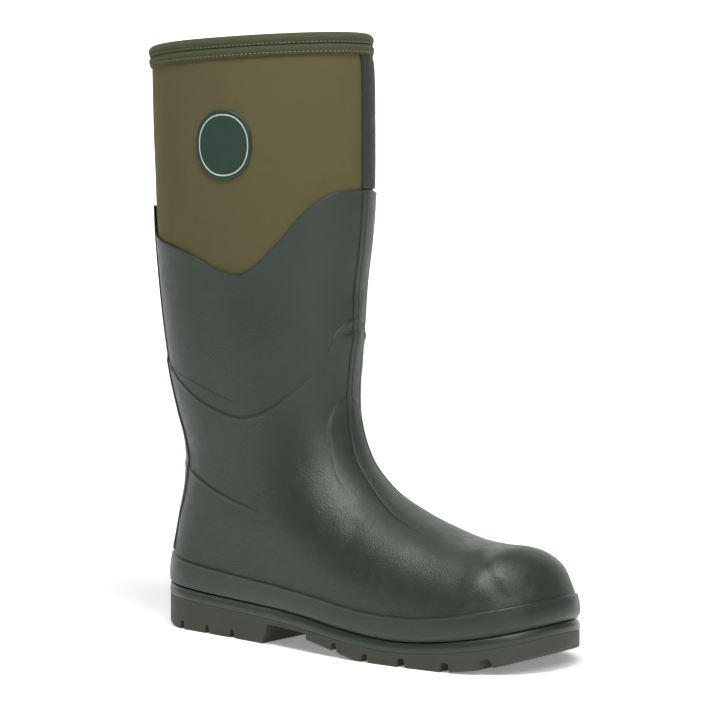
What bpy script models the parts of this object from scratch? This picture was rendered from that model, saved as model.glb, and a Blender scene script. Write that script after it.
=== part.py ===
"""Tall rubber and neoprene safety boot with a steel toe, right foot.

Metres, +Z up. X runs from heel to toe, Y to the wearer's inner side (the
boot's outer side faces -Y). The origin is the centre of the footprint box, on
the ground. All lengths below are millimetres in a drawing frame whose x = 0
is near the back of the heel; ORIGIN moves it to the part's own origin.

The upper is one lofted surface: rings run round the leg on chords from the
front outline to the back outline. Every skin (rubber, neoprene, lining, tape)
is a patch of that surface between two depths, so neighbours stay parallel.
The ankle split is a cylinder about the hinge line, so the shaft turns over
the foot without cutting into it.
"""
import math

import bmesh
import bpy
import numpy as np

for old in list(bpy.data.objects):
    bpy.data.objects.remove(old, do_unlink=True)

MM = 0.001
ORIGIN = (150.75, -1.27, 0.0)          # footprint centre in the drawing frame, mm

# ---------------------------------------------------------------- dimensions
# side outline of the upper, (x, z) in mm, from the sole edge to the collar
FRONT = [(311.4, 10.0), (311.2, 38.0), (306.6, 52.0), (298.0, 65.6), (283.6, 73.4),
         (265.0, 74.4), (244.6, 76.2), (221.8, 82.4), (199.4, 90.6), (176.6, 102.4),
         (156.0, 121.0), (145.2, 147.2), (143.8, 175.7), (145.8, 203.7), (146.8, 232.0),
         (149.6, 264.0), (151.4, 298.5), (151.8, 338.8), (151.6, 376.5), (149.6, 404.0)]
BACK = [(-1.6, 10.0), (-1.6, 37.6), (1.4, 56.0), (7.4, 80.0), (13.4, 104.5), (13.0, 128.0),
        (7.8, 145.4), (1.8, 170.4), (-1.8, 198.5), (-4.8, 231.0), (-6.8, 267.4),
        (-7.6, 309.6), (-9.4, 349.8), (-10.6, 397.0)]
# each front outline point is joined to this height on the back outline
CHORD_BACK_Z = [10, 29, 35, 42, 48, 53, 58, 64, 71, 80, 90, 104, 128, 165, 208, 250, 292, 336,
                368, 397]
ROUND_FRONT = [50, 50, 50, 49, 48, 47, 47, 48, 50, 52, 54, 57, 62, 68, 76, 84, 90, 94, 97, 100]
ROUND_BACK = [41, 41, 41, 43, 46, 50, 53, 56, 58, 60, 61, 62, 63, 64]
POWER_FRONT = [2.1] * 6 + [2.25, 2.3, 2.25, 2.15, 2.1, 2.05] + [2.0] * 8
FOOT_HALF_WIDTH = [(0, 38.5), (25, 39.5), (50, 40.2), (80, 41.0), (115, 42.6), (150, 46.0),
                   (185, 49.6), (215, 51.4), (245, 51.6), (275, 51.0), (320, 49.5)]
SHAFT_HALF_WIDTH = [(0, 40), (60, 41), (100, 43.2), (130, 44.8), (160, 47), (200, 51),
                    (240, 54.4), (280, 57.2), (320, 58.6), (360, 58.8), (400, 58.4)]
CENTRE_LINE = [(0, 0), (40, 0), (80, -1), (120, -2.5), (160, -2.5), (200, 0), (235, 3.5),
               (265, 7), (290, 10), (320, 12)]
TWIST_DEG = 8.5                      # the shaft turns outwards over the foot
TWIST_X = 66.0
TWIST_Z = (110.0, 300.0)

RUBBER_FOOT, RUBBER_SHAFT = 2.2, 1.2   # rubber wall
NEOPRENE_FOOT, NEOPRENE_SHAFT = 4.5, 4.5
LINING = 1.0
GAP = 0.3
CAP_WALL = 1.9                         # steel toe cap
COUNTER_WALL = 1.3
CAP_REAR_X = 236.0
SOLE_OVERHANG = 1.7                    # outsole edge beyond the rubber wall
RAND_WALL = 1.7

# heights along x: underside of the outsole, its upper edge, the top of the
# sole lip (where the rand starts) and the top of the rand
UNDERSIDE = [(-8, 6.5), (0, 5.0), (10, 2.0), (24, 0), (118, 0), (154, 8.0), (178, 3.8), (195, 0),
             (260, 0), (272, 1.3), (285, 3.2), (297, 6.2), (305, 9.4), (310, 12.0), (316, 14.6)]
OUTSOLE_TOP = [(-8, 22.5), (20, 21.6), (57, 19.6), (94, 18.2), (120, 17.2), (147, 15.4), (176, 12.2),
               (200, 9.9), (218, 9.1), (233, 9.3), (250, 10.7), (270, 13.2), (294, 17.4), (308, 21.2),
               (316, 24.0)]
LIP_TOP = [(-8, 29.8), (20, 29.2), (57, 26.8), (100, 25.2), (136, 23.9), (156, 22.2), (171, 20.2),
           (192, 17.7), (211, 16.2), (232, 16.0), (250, 17.4), (267, 19.7), (290, 23.8), (306, 27.9),
           (316, 31.0)]
RAND_TOP = [(-8, 51.0), (20, 49.3), (51, 45.8), (92, 42.5), (137, 39.7), (167, 36.7), (188, 33.9),
            (209, 32.2), (228, 31.9), (243, 32.7), (260, 34.9), (279, 38.1), (293, 41.1), (308, 44.9),
            (316, 47.2)]

ANKLE = (73.0, 118.0)                  # hinge line, x and z
ANKLE_R = 84.0
ANKLE_GAP = 1.1                        # each side of the split

COLLAR_ROLL_H, COLLAR_BAND_H = 8.5, 14.6
NH = 12                                # facets from back to front on one side
RING_AT = [0, 0.35, 0.7, 1.0, 1.5, 2.0, 2.5, 3.0, 3.6, 4.3, 5.0, 6.0, 7.0, 8.0, 9.0, 10.0, 10.7,
           11.4, 12.0, 12.6, 13.3, 14.0, 15.0, 16.0, 17.0, 18.0, 19.0]
NR = len(RING_AT)


# ------------------------------------------------------------------ geometry
def curve(points, n=24, alpha=0.5):
    """Centripetal Catmull-Rom through the points, with each sample's point index."""
    P = np.asarray(points, float)
    Q = np.vstack([2 * P[0] - P[1], P, 2 * P[-1] - P[-2]])
    out, par = [], []
    for i in range(1, len(Q) - 2):
        p0, p1, p2, p3 = Q[i - 1:i + 3]
        t1 = np.linalg.norm(p1 - p0) ** alpha
        t2 = t1 + np.linalg.norm(p2 - p1) ** alpha
        t3 = t2 + np.linalg.norm(p3 - p2) ** alpha
        t = np.linspace(t1, t2, n, endpoint=False)[:, None]
        a1 = (t1 - t) / t1 * p0 + t / t1 * p1
        a2 = (t2 - t) / (t2 - t1) * p1 + (t - t1) / (t2 - t1) * p2
        a3 = (t3 - t) / (t3 - t2) * p2 + (t - t2) / (t3 - t2) * p3
        b1 = (t2 - t) / t2 * a1 + t / t2 * a2
        b2 = (t3 - t) / (t3 - t1) * a2 + (t - t1) / (t3 - t1) * a3
        out.append((t2 - t) / (t2 - t1) * b1 + (t - t1) / (t2 - t1) * b2)
        par.append(i - 1 + (t[:, 0] - t1) / (t2 - t1))
    return np.vstack(out + [P[-1:]]), np.concatenate(par + [np.array([len(P) - 1.0])])


FC, FP = curve(FRONT)
BC, BP = curve(BACK)


def smooth(a, b, x):
    t = np.clip((np.asarray(x, float) - a) / (b - a), 0, 1)
    return t * t * (3 - 2 * t)


def table(rows, x):
    """Cubic Hermite reading of a table of (x, value)."""
    T = np.asarray(rows, float)
    X, Y = T[:, 0], T[:, 1]
    d = np.gradient(Y, X)
    x = np.clip(x, X[0], X[-1])
    i = np.clip(np.searchsorted(X, x) - 1, 0, len(X) - 2)
    h = X[i + 1] - X[i]
    t = (x - X[i]) / h
    return ((2 * t**3 - 3 * t**2 + 1) * Y[i] + (t**3 - 2 * t**2 + t) * h * d[i]
            + (-2 * t**3 + 3 * t**2) * Y[i + 1] + (t**3 - t**2) * h * d[i + 1])


def nearest(C, par, x, z):
    d = (np.asarray(x)[..., None] - C[:, 0]) ** 2 + (np.asarray(z)[..., None] - C[:, 1]) ** 2
    k = d.argmin(-1)
    return np.sqrt(np.take_along_axis(d, k[..., None], -1)[..., 0]), par[k]


def bulge(t, p):
    t = np.clip(t, 0, 1)
    return (1 - (1 - t) ** p) ** (1 / p)


def half_width(x, z):
    df, pf = nearest(FC, FP, x, z)
    db, pb = nearest(BC, BP, x, z)
    rf = np.interp(pf, range(len(ROUND_FRONT)), ROUND_FRONT)
    rb = np.interp(pb, range(len(ROUND_BACK)), ROUND_BACK)
    p = np.interp(pf, range(len(POWER_FRONT)), POWER_FRONT)
    k = smooth(70, 155, z)
    w = table(FOOT_HALF_WIDTH, x) * (1 - k) + table(SHAFT_HALF_WIDTH, z) * k
    return w * bulge(df / rf, p) * bulge(db / rb, 2.0)


def loft():
    """Ring points P[ring, column] and outward normals N; column 0 is the back
    centre, NH the front centre, 1..NH-1 the outer side, the rest the inner."""
    P = np.zeros((NR, 2 * NH, 3))
    t = (1 - np.cos(np.pi * np.arange(NH + 1) / NH)) / 2
    order = np.argsort(BC[:, 1])
    for i, s in enumerate(RING_AT):
        F = np.array([np.interp(s, FP, FC[:, 0]), np.interp(s, FP, FC[:, 1])])
        bz = float(table(list(enumerate(CHORD_BACK_Z)), np.array([float(s)]))[0])
        K = np.array([np.interp(bz, BC[order, 1], BC[order, 0]), bz])
        X, Z = K[0] + (F[0] - K[0]) * t, K[1] + (F[1] - K[1]) * t
        H = half_width(X, Z)
        H[0] = H[-1] = 0
        C = table(CENTRE_LINE, X) * (1 - smooth(70, 130, Z))
        P[i, :NH + 1] = np.stack([X, C - H, Z], 1)
        P[i, NH + 1:] = np.stack([X, C + H, Z], 1)[NH - 1:0:-1]
    k = smooth(*TWIST_Z, P[..., 2]) * math.radians(TWIST_DEG)
    x, y = P[..., 0] - TWIST_X, P[..., 1].copy()
    P[..., 0] = TWIST_X + x * np.cos(k) - y * np.sin(k)
    P[..., 1] = x * np.sin(k) + y * np.cos(k)
    across = np.roll(P, -1, 1) - np.roll(P, 1, 1)
    along = np.gradient(P, axis=0)
    N = np.cross(across, along)
    return P, N / np.linalg.norm(N, axis=2, keepdims=True)


P, N = loft()


def at(q, r, d=0.0):
    """Point of the loft at column q and ring r, moved out by d."""
    q = q % (2 * NH)
    r = min(max(r, 0.0), NR - 1.0)
    j, i = int(q) % (2 * NH), min(int(r), NR - 2)
    s, f = q - int(q), r - i
    j2 = (j + 1) % (2 * NH)
    A = P + N * d if d else P
    return ((A[i, j] * (1 - s) + A[i, j2] * s) * (1 - f)
            + (A[i + 1, j] * (1 - s) + A[i + 1, j2] * s) * f)


STEPS = np.arange(0, NR - 1 + 1e-9, 0.05)


def first(q, test, start=0.0):
    """Lowest ring coordinate at which test(point) turns from negative to positive."""
    rs = STEPS[STEPS >= start]
    v = [test(at(q, r)) for r in rs]
    for k in range(1, len(v)):
        if v[k - 1] < 0 <= v[k]:
            return float(rs[k - 1] + (rs[k] - rs[k - 1]) * -v[k - 1] / (v[k] - v[k - 1]))
    return float(rs[0]) if v[0] >= 0 else float(rs[-1])


def last(q, test, d=0.0):
    """Highest ring coordinate at which test(point at depth d) turns positive."""
    v = [test(at(q, r, d)) for r in STEPS]
    for k in range(len(v) - 1, 0, -1):
        if v[k - 1] < 0 <= v[k]:
            return float(STEPS[k - 1] + (STEPS[k] - STEPS[k - 1]) * -v[k - 1] / (v[k] - v[k - 1]))
    return 0.0


# heights of the sole unit
def spring(x):
    U = np.array(UNDERSIDE, float)
    return np.interp(x, U[:, 0], U[:, 1])


def z_outsole(x):
    return table(OUTSOLE_TOP, x)


def z_lip(x):
    return table(LIP_TOP, x)


def z_rand(x):
    return table(RAND_TOP, x)


def ring_lip(q, c):
    return first(q, lambda p: p[2] - z_lip(p[0]) - c)


def ring_rand(q, c=0.0):
    return first(q, lambda p: p[2] - z_rand(p[0]) - c)


def ring_z(q, z):
    return first(q, lambda p: p[2] - z)


def ring_split(q, off, d=0.0):
    """Ring where the surface at depth d crosses the ankle cylinder, going up."""
    return last(q, lambda p: math.hypot(p[0] - ANKLE[0], p[2] - ANKLE[1]) - ANKLE_R - off, d)


def height_down(q, h):
    """Ring coordinate h mm below the top, along the column."""
    j, s = int(q) % (2 * NH), q - int(q)
    col = P[:, j] * (1 - s) + P[:, (j + 1) % (2 * NH)] * s
    seg = np.linalg.norm(np.diff(col, axis=0), axis=1)
    below = np.concatenate([np.cumsum(seg[::-1])[::-1], [0.0]])
    return float(np.interp(-h, -below, np.arange(NR)))


# top edge of the rubber on the shaft: height by place round the leg
EDGE_Z = [(0.0, 291), (1.0, 285), (2.0, 271), (3.0, 266), (4.0, 262.4), (5.0, 256.2),
          (6.0, 247.0), (7.0, 245.6), (8.0, 262.8), (9.0, 285), (10.0, 297), (11.0, 299.8), (12.0, 300.4)]


def ring_edge(q, off=0.0):
    m = q % (2 * NH)
    m = m if m <= NH else 2 * NH - m
    z = float(table(EDGE_Z, np.array([m]))[0]) + off
    return ring_z(q, z)


# ------------------------------------------------------------------- meshing
def clip(poly, n, c):
    """Keep the part of a convex polygon where n . p >= c."""
    out = []
    for k in range(len(poly)):
        a, b = poly[k], poly[(k + 1) % len(poly)]
        da, db = a[0] * n[0] + a[1] * n[1] - c, b[0] * n[0] + b[1] * n[1] - c
        if da >= -1e-9:
            out.append(a)
        if (da > 1e-9 and db < -1e-9) or (da < -1e-9 and db > 1e-9):
            f = da / (da - db)
            out.append((a[0] + (b[0] - a[0]) * f, a[1] + (b[1] - a[1]) * f))
    return out


def snap(r):
    return round(r) if abs(r - round(r)) < 0.02 else r


def region(qs, low, high):
    """Cells of the loft between two curves: polygons of (q, r), each with its
    grid triangle. qs are the columns to cut at; whole columns are added."""
    qs = sorted(set([round(float(q), 6) for q in qs]
                    + [float(k) for k in range(math.ceil(qs[0]), math.floor(qs[-1]) + 1)]))
    out = []
    lo = {q: snap(low(q)) for q in qs}
    hi = {q: snap(high(q)) for q in qs}
    for q0, q1 in zip(qs[:-1], qs[1:]):
        c = math.floor(q0 + 1e-9)
        a0, a1, b0, b1 = lo[q0], lo[q1], max(hi[q0], lo[q0]), max(hi[q1], lo[q1])
        if b0 - a0 < 1e-6 and b1 - a1 < 1e-6:
            continue
        for i in range(max(0, math.floor(min(a0, a1))), min(NR - 1, math.ceil(max(b0, b1)))):
            for tri in (((c, i), (c + 1, i), (c + 1, i + 1)), ((c, i), (c + 1, i + 1), (c, i + 1))):
                poly = [(float(x), float(y)) for x, y in tri]
                poly = clip(poly, (1, 0), q0)
                poly = clip(poly, (-1, 0), -q1)
                sa, sb = (a1 - a0) / (q1 - q0), (b1 - b0) / (q1 - q0)
                poly = clip(poly, (-sa, 1), a0 - sa * q0)
                poly = clip(poly, (sb, -1), sb * q0 - b0)
                clean = []
                for p in poly:
                    p = (round(p[0], 5), round(p[1], 5))
                    if not clean or clean[-1] != p:
                        clean.append(p)
                if len(clean) > 1 and clean[0] == clean[-1]:
                    clean.pop()
                if len(clean) < 3:
                    continue
                area = sum(clean[k][0] * clean[(k + 1) % len(clean)][1]
                           - clean[(k + 1) % len(clean)][0] * clean[k][1] for k in range(len(clean)))
                if area > 1e-8:
                    out.append((tri, clean))
    return out


def place(tri, p, depth):
    """Point of one grid triangle at (q, r), moved along the normals by depth."""
    (ax, ay), (bx, by), (cx, cy) = tri
    det = (bx - ax) * (cy - ay) - (cx - ax) * (by - ay)
    u = ((p[0] - ax) * (cy - ay) - (cx - ax) * (p[1] - ay)) / det
    v = ((bx - ax) * (p[1] - ay) - (p[0] - ax) * (by - ay)) / det
    out = np.zeros(3)
    for (q, r), w in (((ax, ay), 1 - u - v), ((bx, by), u), ((cx, cy), v)):
        j = q % (2 * NH)
        out += w * (P[r, j] + N[r, j] * depth[r, j])
    return out


def touched(cells):
    mark = np.zeros((NR, 2 * NH))
    for tri, _ in cells:
        for q, r in tri:
            mark[r, q % (2 * NH)] = 1
    return mark


def finish(name, verts, faces, colour, rough, metal, angle=40):
    me = bpy.data.meshes.new(name)
    me.from_pydata([((v[0] - ORIGIN[0]) * MM, (v[1] - ORIGIN[1]) * MM, (v[2] - ORIGIN[2]) * MM)
                    for v in verts], [], faces)
    bm = bmesh.new()
    bm.from_mesh(me)
    bmesh.ops.triangulate(bm, faces=bm.faces[:])
    bmesh.ops.recalc_face_normals(bm, faces=bm.faces[:])
    bm.to_mesh(me)
    bm.free()
    me.shade_smooth()
    me.set_sharp_from_angle(angle=math.radians(angle))
    ob = bpy.data.objects.new(name, me)
    bpy.context.scene.collection.objects.link(ob)
    mat = bpy.data.materials.new(name)
    mat.use_nodes = True
    b = mat.node_tree.nodes["Principled BSDF"]
    b.inputs["Base Color"].default_value = (*colour, 1)
    b.inputs["Roughness"].default_value = rough
    b.inputs["Metallic"].default_value = metal
    me.materials.append(mat)
    return ob


def skin(name, cells, outer, inner, look):
    """Closed solid between two depths over a set of cells."""
    if np.isscalar(outer):
        outer = np.full((NR, 2 * NH), float(outer))
    if np.isscalar(inner):
        inner = np.full((NR, 2 * NH), float(inner))
    ids, verts = {}, []

    def vid(side, tri, p):
        key = (side, round(p[0] % (2 * NH), 4), round(p[1], 4))
        if key not in ids:
            ids[key] = len(verts)
            verts.append(place(tri, p, outer if side else inner))
        return ids[key]

    faces, edges = [], {}
    for tri, poly in cells:
        top = [vid(1, tri, p) for p in poly]
        low = [vid(0, tri, p) for p in poly]
        n = len(poly)
        for k in range(1, n - 1):
            faces.append((top[0], top[k], top[k + 1]))
            faces.append((low[0], low[k + 1], low[k]))
        for k in range(n):
            e = (top[k], top[(k + 1) % n])
            f = (low[k], low[(k + 1) % n])
            if (e[1], e[0]) in edges:
                del edges[(e[1], e[0])]
            else:
                edges[e] = f
    for (a, b), (c, d) in edges.items():
        faces.append((b, a, c))
        faces.append((b, c, d))
    return finish(name, verts, faces, *look)


FULL = [0, 2 * NH]


def hoop(name, profile, look, up=True):
    """Closed ring round the collar: profile points are (depth, mm below the top)."""
    verts, faces = [], []
    n = len(profile)
    for j in range(2 * NH):
        for d, h in profile:
            r = height_down(j, max(h, 0.0))
            base = at(j, r, d)
            if h < 0:
                base = base + np.array([0, 0, -h])
            verts.append(base)
    for j in range(2 * NH):
        k = (j + 1) % (2 * NH)
        for m in range(n):
            m2 = (m + 1) % n
            faces.append((j * n + m, k * n + m, k * n + m2, j * n + m2))
    return finish(name, verts, faces, *look)


LOW = [ring_lip(q, 3.0) for q in range(2 * NH)]


def footprint(d):
    """Plan outline of the foot at the sole, moved out by d: one point a column."""
    return np.array([at(q, LOW[q], d) for q in range(2 * NH)])


def slab(name, d, low, high, look):
    """Plate with the foot's outline between two heights given along x."""
    o = footprint(d)
    n = 2 * NH
    verts = [(p[0], p[1], float(low(p[0]))) for p in o] + [(p[0], p[1], float(high(p[0]))) for p in o]
    faces = []
    for j in range(n):
        k = (j + 1) % n
        faces.append((j, k, n + k, n + j))
    for j in range(NH):
        a, b, c, e = j, j + 1, (n - j - 1) % n, (n - j) % n
        quad = [a, b, c, e]
        quad = [v for i, v in enumerate(quad) if v not in quad[:i]]
        faces.append(tuple(quad))
        faces.append(tuple(n + v for v in reversed(quad)))
    return finish(name, verts, faces, *look)


def ring_band(name, profile, look):
    """Closed ring round the sole: profile points are (depth, z function)."""
    outlines = [footprint(d) for d, _ in profile]
    n, m = 2 * NH, len(profile)
    verts, faces = [], []
    for j in range(n):
        for k, (_, z) in enumerate(profile):
            p = outlines[k][j]
            verts.append((p[0], p[1], float(z(p[0]))))
    for j in range(n):
        j2 = (j + 1) % n
        for k in range(m):
            k2 = (k + 1) % m
            faces.append((j * m + k, j2 * m + k, j2 * m + k2, j * m + k2))
    return finish(name, verts, faces, *look)


# ---------------------------------------------------------------------- looks
RUBBER = ((0.052, 0.066, 0.052), 0.5, 0.0)
RUBBER_DARK = ((0.040, 0.052, 0.042), 0.45, 0.0)
NEOPRENE = ((0.130, 0.110, 0.052), 0.9, 0.0)
BLACK_FOAM = ((0.02, 0.02, 0.02), 0.85, 0.0)
KNIT = ((0.16, 0.16, 0.145), 0.95, 0.0)
BINDING = ((0.076, 0.092, 0.042), 0.8, 0.0)
OUTSOLE = ((0.071, 0.066, 0.052), 0.7, 0.0)
STEEL = ((0.55, 0.56, 0.57), 0.35, 1.0)
BOARD = ((0.42, 0.34, 0.22), 0.85, 0.0)
EVA = ((0.30, 0.30, 0.29), 0.9, 0.0)
THREAD = ((0.10, 0.12, 0.06), 0.7, 0.0)
PATCH = ((0.026, 0.058, 0.036), 0.45, 0.0)
TAPE = ((0.058, 0.068, 0.050), 0.75, 0.0)

# the shaft's skins swell a little above the rubber's edge
LIFT = smooth(235, 300, P[..., 2]) * 1.0
ON_FOOT = 1 - smooth(120, 200, P[..., 2])
RUB_IN = -(RUBBER_SHAFT + (RUBBER_FOOT - RUBBER_SHAFT) * ON_FOOT)

# ------------------------------------------------------- steel cap and counter


def ring_x(q, x):
    """Ring at which the column comes back behind x (0 where it never passes x)."""
    if at(q, 0.0)[0] <= x:
        return 0.0
    return first(q, lambda p: x - p[0])


def cap_low(q):
    return ring_lip(q, 5.8)


def first_q(test, q0, q1, n=200):
    for k in range(n + 1):
        q = q0 + (q1 - q0) * k / n
        if test(q):
            return q
    return q1


def cap_limits(x):
    """Columns where the line x = const meets the cap's lower edge."""
    ahead = lambda q: at(q, cap_low(q))[0] > x
    return first_q(ahead, NH - 6.0, NH), 2 * NH - first_q(lambda q: ahead(2 * NH - q), NH - 6.0, NH)


c0, c1 = cap_limits(CAP_REAR_X)
CAP = region([c0, c1], cap_low, lambda q: max(cap_low(q), ring_x(q, CAP_REAR_X)) if c0 < q < c1 else cap_low(q))
e0, e1 = cap_limits(CAP_REAR_X - 9.0)
BEAD = region([e0, c0, c1, e1],
              lambda q: max(cap_low(q), ring_x(q, CAP_REAR_X - 0.6)) if c0 < q < c1 else cap_low(q),
              lambda q: max(cap_low(q), ring_x(q, CAP_REAR_X - 9.0)) if e0 < q < e1 else cap_low(q))
COUNTER = region([-4.2, 4.2], lambda q: ring_lip(q, 5.8), lambda q: 13.4)
deeper = (np.maximum(touched(CAP), touched(BEAD)) * (CAP_WALL + GAP)
          + touched(COUNTER) * (COUNTER_WALL + GAP))

# ---------------------------------------------------------------------- foot
FOOT_TOP = lambda q: ring_split(q, -ANKLE_GAP, -1.8)
skin("foot_rubber_shell", region(FULL, lambda q: ring_lip(q, 0.6), lambda q: ring_split(q, -ANKLE_GAP)), 0.0, RUB_IN, RUBBER)
NEO_OUT = RUB_IN - GAP - deeper
NEO_IN = RUB_IN - GAP - np.maximum(deeper, 0) - (NEOPRENE_FOOT - np.minimum(deeper, 1.6))
bootie = region(FULL, lambda q: ring_lip(q, 5.8), FOOT_TOP)
skin("foot_neoprene", bootie, NEO_OUT, NEO_IN, BLACK_FOAM)
skin("foot_lining", bootie, NEO_IN - GAP, NEO_IN - GAP - LINING, KNIT)
skin("steel_toe_cap", CAP, RUB_IN - GAP, RUB_IN - GAP - CAP_WALL, STEEL)
skin("toe_cap_edge_bead", BEAD, RUB_IN - GAP, RUB_IN - GAP - CAP_WALL, BLACK_FOAM)
skin("heel_counter", COUNTER, RUB_IN - GAP, RUB_IN - GAP - COUNTER_WALL, BOARD)
skin("foxing_rand", region(FULL, lambda q: ring_lip(q, 1.3), ring_rand), GAP + RAND_WALL, GAP, RUBBER)

STAY_W = 2.9          # half width of the back stay, in columns
skin("back_stay_heel", region([-STAY_W, STAY_W], lambda q: ring_rand(q, 0.5),
                              lambda q: ring_split(q, -ANKLE_GAP, 1.6)), GAP + 1.3, GAP, RUBBER)
skin("heel_kick_spur", region([-0.8, 0.8], lambda q: ring_rand(q, 0.6), lambda q: ring_rand(q, 6.5)),
     6.4, 1.9, RUBBER)
RIB_L, RIB_R = 0.72, 0.85
skin("instep_rib", region([NH - RIB_L, NH + RIB_R], lambda q: ring_x(q, 252.0) if q else 0,
                          lambda q: ring_split(q, -ANKLE_GAP, 1.6)), GAP + 1.3, GAP, RUBBER)

# sole unit
slab("foam_midsole", -4.4, lambda x: z_outsole(x) + 0.4, z_lip, EVA)
ring_band("sole_lip", [(-4.0, lambda x: z_outsole(x) + 0.4), (1.7, lambda x: z_outsole(x) + 0.4),
                       (2.1, lambda x: 0.5 * (z_outsole(x) + z_lip(x))), (0.8, z_lip), (-4.0, z_lip)],
          RUBBER_DARK)
slab("steel_midsole_plate", -2.9, lambda x: z_lip(x) + 0.4, lambda x: z_lip(x) + 1.8, STEEL)
slab("insole_board", -2.9, lambda x: z_lip(x) + 2.2, lambda x: z_lip(x) + 5.0, BOARD)
slab("footbed_foam", -12.0, lambda x: z_lip(x) + 5.4, lambda x: z_lip(x) + 10.4, BLACK_FOAM)
slab("footbed_cover", -12.0, lambda x: z_lip(x) + 10.8, lambda x: z_lip(x) + 12.4, KNIT)

outsole = slab("outsole", SOLE_OVERHANG, spring, z_outsole, OUTSOLE)
# channels across the tread: (x of the middle, width at the ground, height)
CHANNELS = [(34, 5.0, 5.6), (58.5, 5.0, 5.6), (83, 5.0, 5.6), (179, 5.8, 5.2), (204.5, 6.2, 5.2),
            (232.5, 6.8, 5.4), (264.5, 7.6, 5.6), (289, 8.2, 5.8)]
# arch gap under the waist: (x, z) corners
ARCH = [(108.0, -3.0), (158.5, -3.0), (152.5, 12.6), (115.0, 13.8)]
sections = [ARCH]
for x, w, h in CHANNELS:
    base = float(spring(x))
    sections.append([(x - 0.5 * w - 0.3 * (base + 3.0), -3.0), (x + 0.5 * w + 0.3 * (base + 3.0), -3.0),
                     (x + 0.5 * w - 0.3 * h, base + h), (x - 0.5 * w + 0.3 * h, base + h)])
cv, cf = [], []
for section in sections:
    b = len(cv)
    cv += [(x, y, z) for y in (-90.0, 90.0) for x, z in section]
    cf += [(b, b + 1, b + 2, b + 3), (b + 7, b + 6, b + 5, b + 4)]
    cf += [(b + k, b + 4 + k, b + 4 + (k + 1) % 4, b + (k + 1) % 4) for k in range(4)]
cutter = finish("tread_cutter", cv, cf, *OUTSOLE)
cutter.hide_render = True
cutter.display_type = "WIRE"
cut = outsole.modifiers.new("tread", "BOOLEAN")
cut.operation = "DIFFERENCE"
cut.object = cutter
cut.solver = "EXACT"

# --------------------------------------------------------------------- shaft
SHAFT_LOW = lambda q: ring_split(q, ANKLE_GAP, -8.4)
skin("shaft_rubber_shell", region(FULL, lambda q: ring_split(q, ANKLE_GAP, -2.3), ring_edge), LIFT, RUB_IN + LIFT, RUBBER)
neo_out = RUB_IN + LIFT - GAP
neo_in = neo_out - NEOPRENE_SHAFT
COLLAR_IN = lambda q: height_down(q, 3.6)
sleeve = region(FULL, SHAFT_LOW, COLLAR_IN)
skin("shaft_neoprene", sleeve, neo_out, neo_in, NEOPRENE)
skin("shaft_lining", sleeve, neo_in - GAP, neo_in - GAP - LINING, KNIT)

TAPE_L, TAPE_R = 0.35, 1.45
skin("front_seam_tape", region([NH - TAPE_L, NH + TAPE_R], lambda q: ring_edge(q, 2.2),
                               lambda q: height_down(q, COLLAR_BAND_H + 0.4)),
     neo_out + GAP + 1.3, neo_out + GAP, TAPE)
skin("shin_rib", region([NH - TAPE_L - 0.1, NH + TAPE_R + 0.1], lambda q: ring_split(q, ANKLE_GAP),
                        lambda q: ring_edge(q, -0.6)), LIFT + GAP + 1.3, LIFT + GAP, RUBBER)
skin("back_stay_shaft", region([-STAY_W, STAY_W], lambda q: ring_split(q, ANKLE_GAP),
                               lambda q: ring_edge(q, -1.0)), LIFT + GAP + 1.3, LIFT + GAP, RUBBER)

outer = float(neo_out[-1, 0])
inside = float(neo_in[-1, 0]) - GAP - LINING
o, i_ = outer + GAP, inside - GAP
hoop("collar_roll", [(o, COLLAR_ROLL_H), (o + 1.3, COLLAR_ROLL_H - 0.4), (o + 1.7, 5.0), (o + 1.4, 2.2),
                     (o - 0.2, 0.5), (outer - 2.6, -0.1), (i_ - 0.2, 0.6), (i_ - 1.4, 2.4), (i_ - 1.6, 5.5),
                     (i_ - 1.3, COLLAR_ROLL_H + 0.4), (i_, COLLAR_ROLL_H + 0.8), (i_, 3.1), (o, 3.1)], BINDING)
hoop("collar_band", [(o, COLLAR_BAND_H), (o + 1.2, COLLAR_BAND_H - 0.4), (o + 1.5, 11.8),
                     (o + 1.2, COLLAR_ROLL_H + 0.9), (o, COLLAR_ROLL_H + 0.5)], BINDING)
for label, h, d in (("stitch_row_upper", 6.6, o + 1.7), ("stitch_row_lower", 12.0, o + 1.5)):
    hoop(label, [(d + 0.75 + 0.4 * math.cos(a), h - 0.4 * math.sin(a))
                 for a in (math.radians(60 * k) for k in range(6))], THREAD)

# plain oval patch on the outer side, 41 x 46 mm
PATCH_Q, PATCH_Z, PATCH_W, PATCH_H = 6.25, 329.5, 41.0, 46.0


reach = np.linspace(PATCH_Q - 3.0, PATCH_Q + 3.0, 61)
walk = np.array([at(q, ring_z(q, PATCH_Z)) for q in reach])
run = np.concatenate([[0.0], np.cumsum(np.linalg.norm(np.diff(walk, axis=0), axis=1))])
run -= np.interp(PATCH_Q, reach, run)


def q_at(distance):
    """Column that lies this far round the leg from the patch's middle."""
    return float(np.interp(distance, run, reach))


stops = [-0.5 * PATCH_W * math.cos(math.pi * k / 12) for k in range(13)]
pq = [q_at(s) for s in stops]


def patch_half(q):
    s = float(np.interp(q, pq, stops))
    return 0.5 * PATCH_H * (max(0.0, 1 - (2 * s / PATCH_W) ** 2)) ** (1 / 2.4)


skin("badge_patch", region(pq, lambda q: ring_z(q, PATCH_Z - patch_half(q)),
                           lambda q: ring_z(q, PATCH_Z + patch_half(q))),
     neo_out + GAP + 1.2, neo_out + GAP, PATCH)
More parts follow.
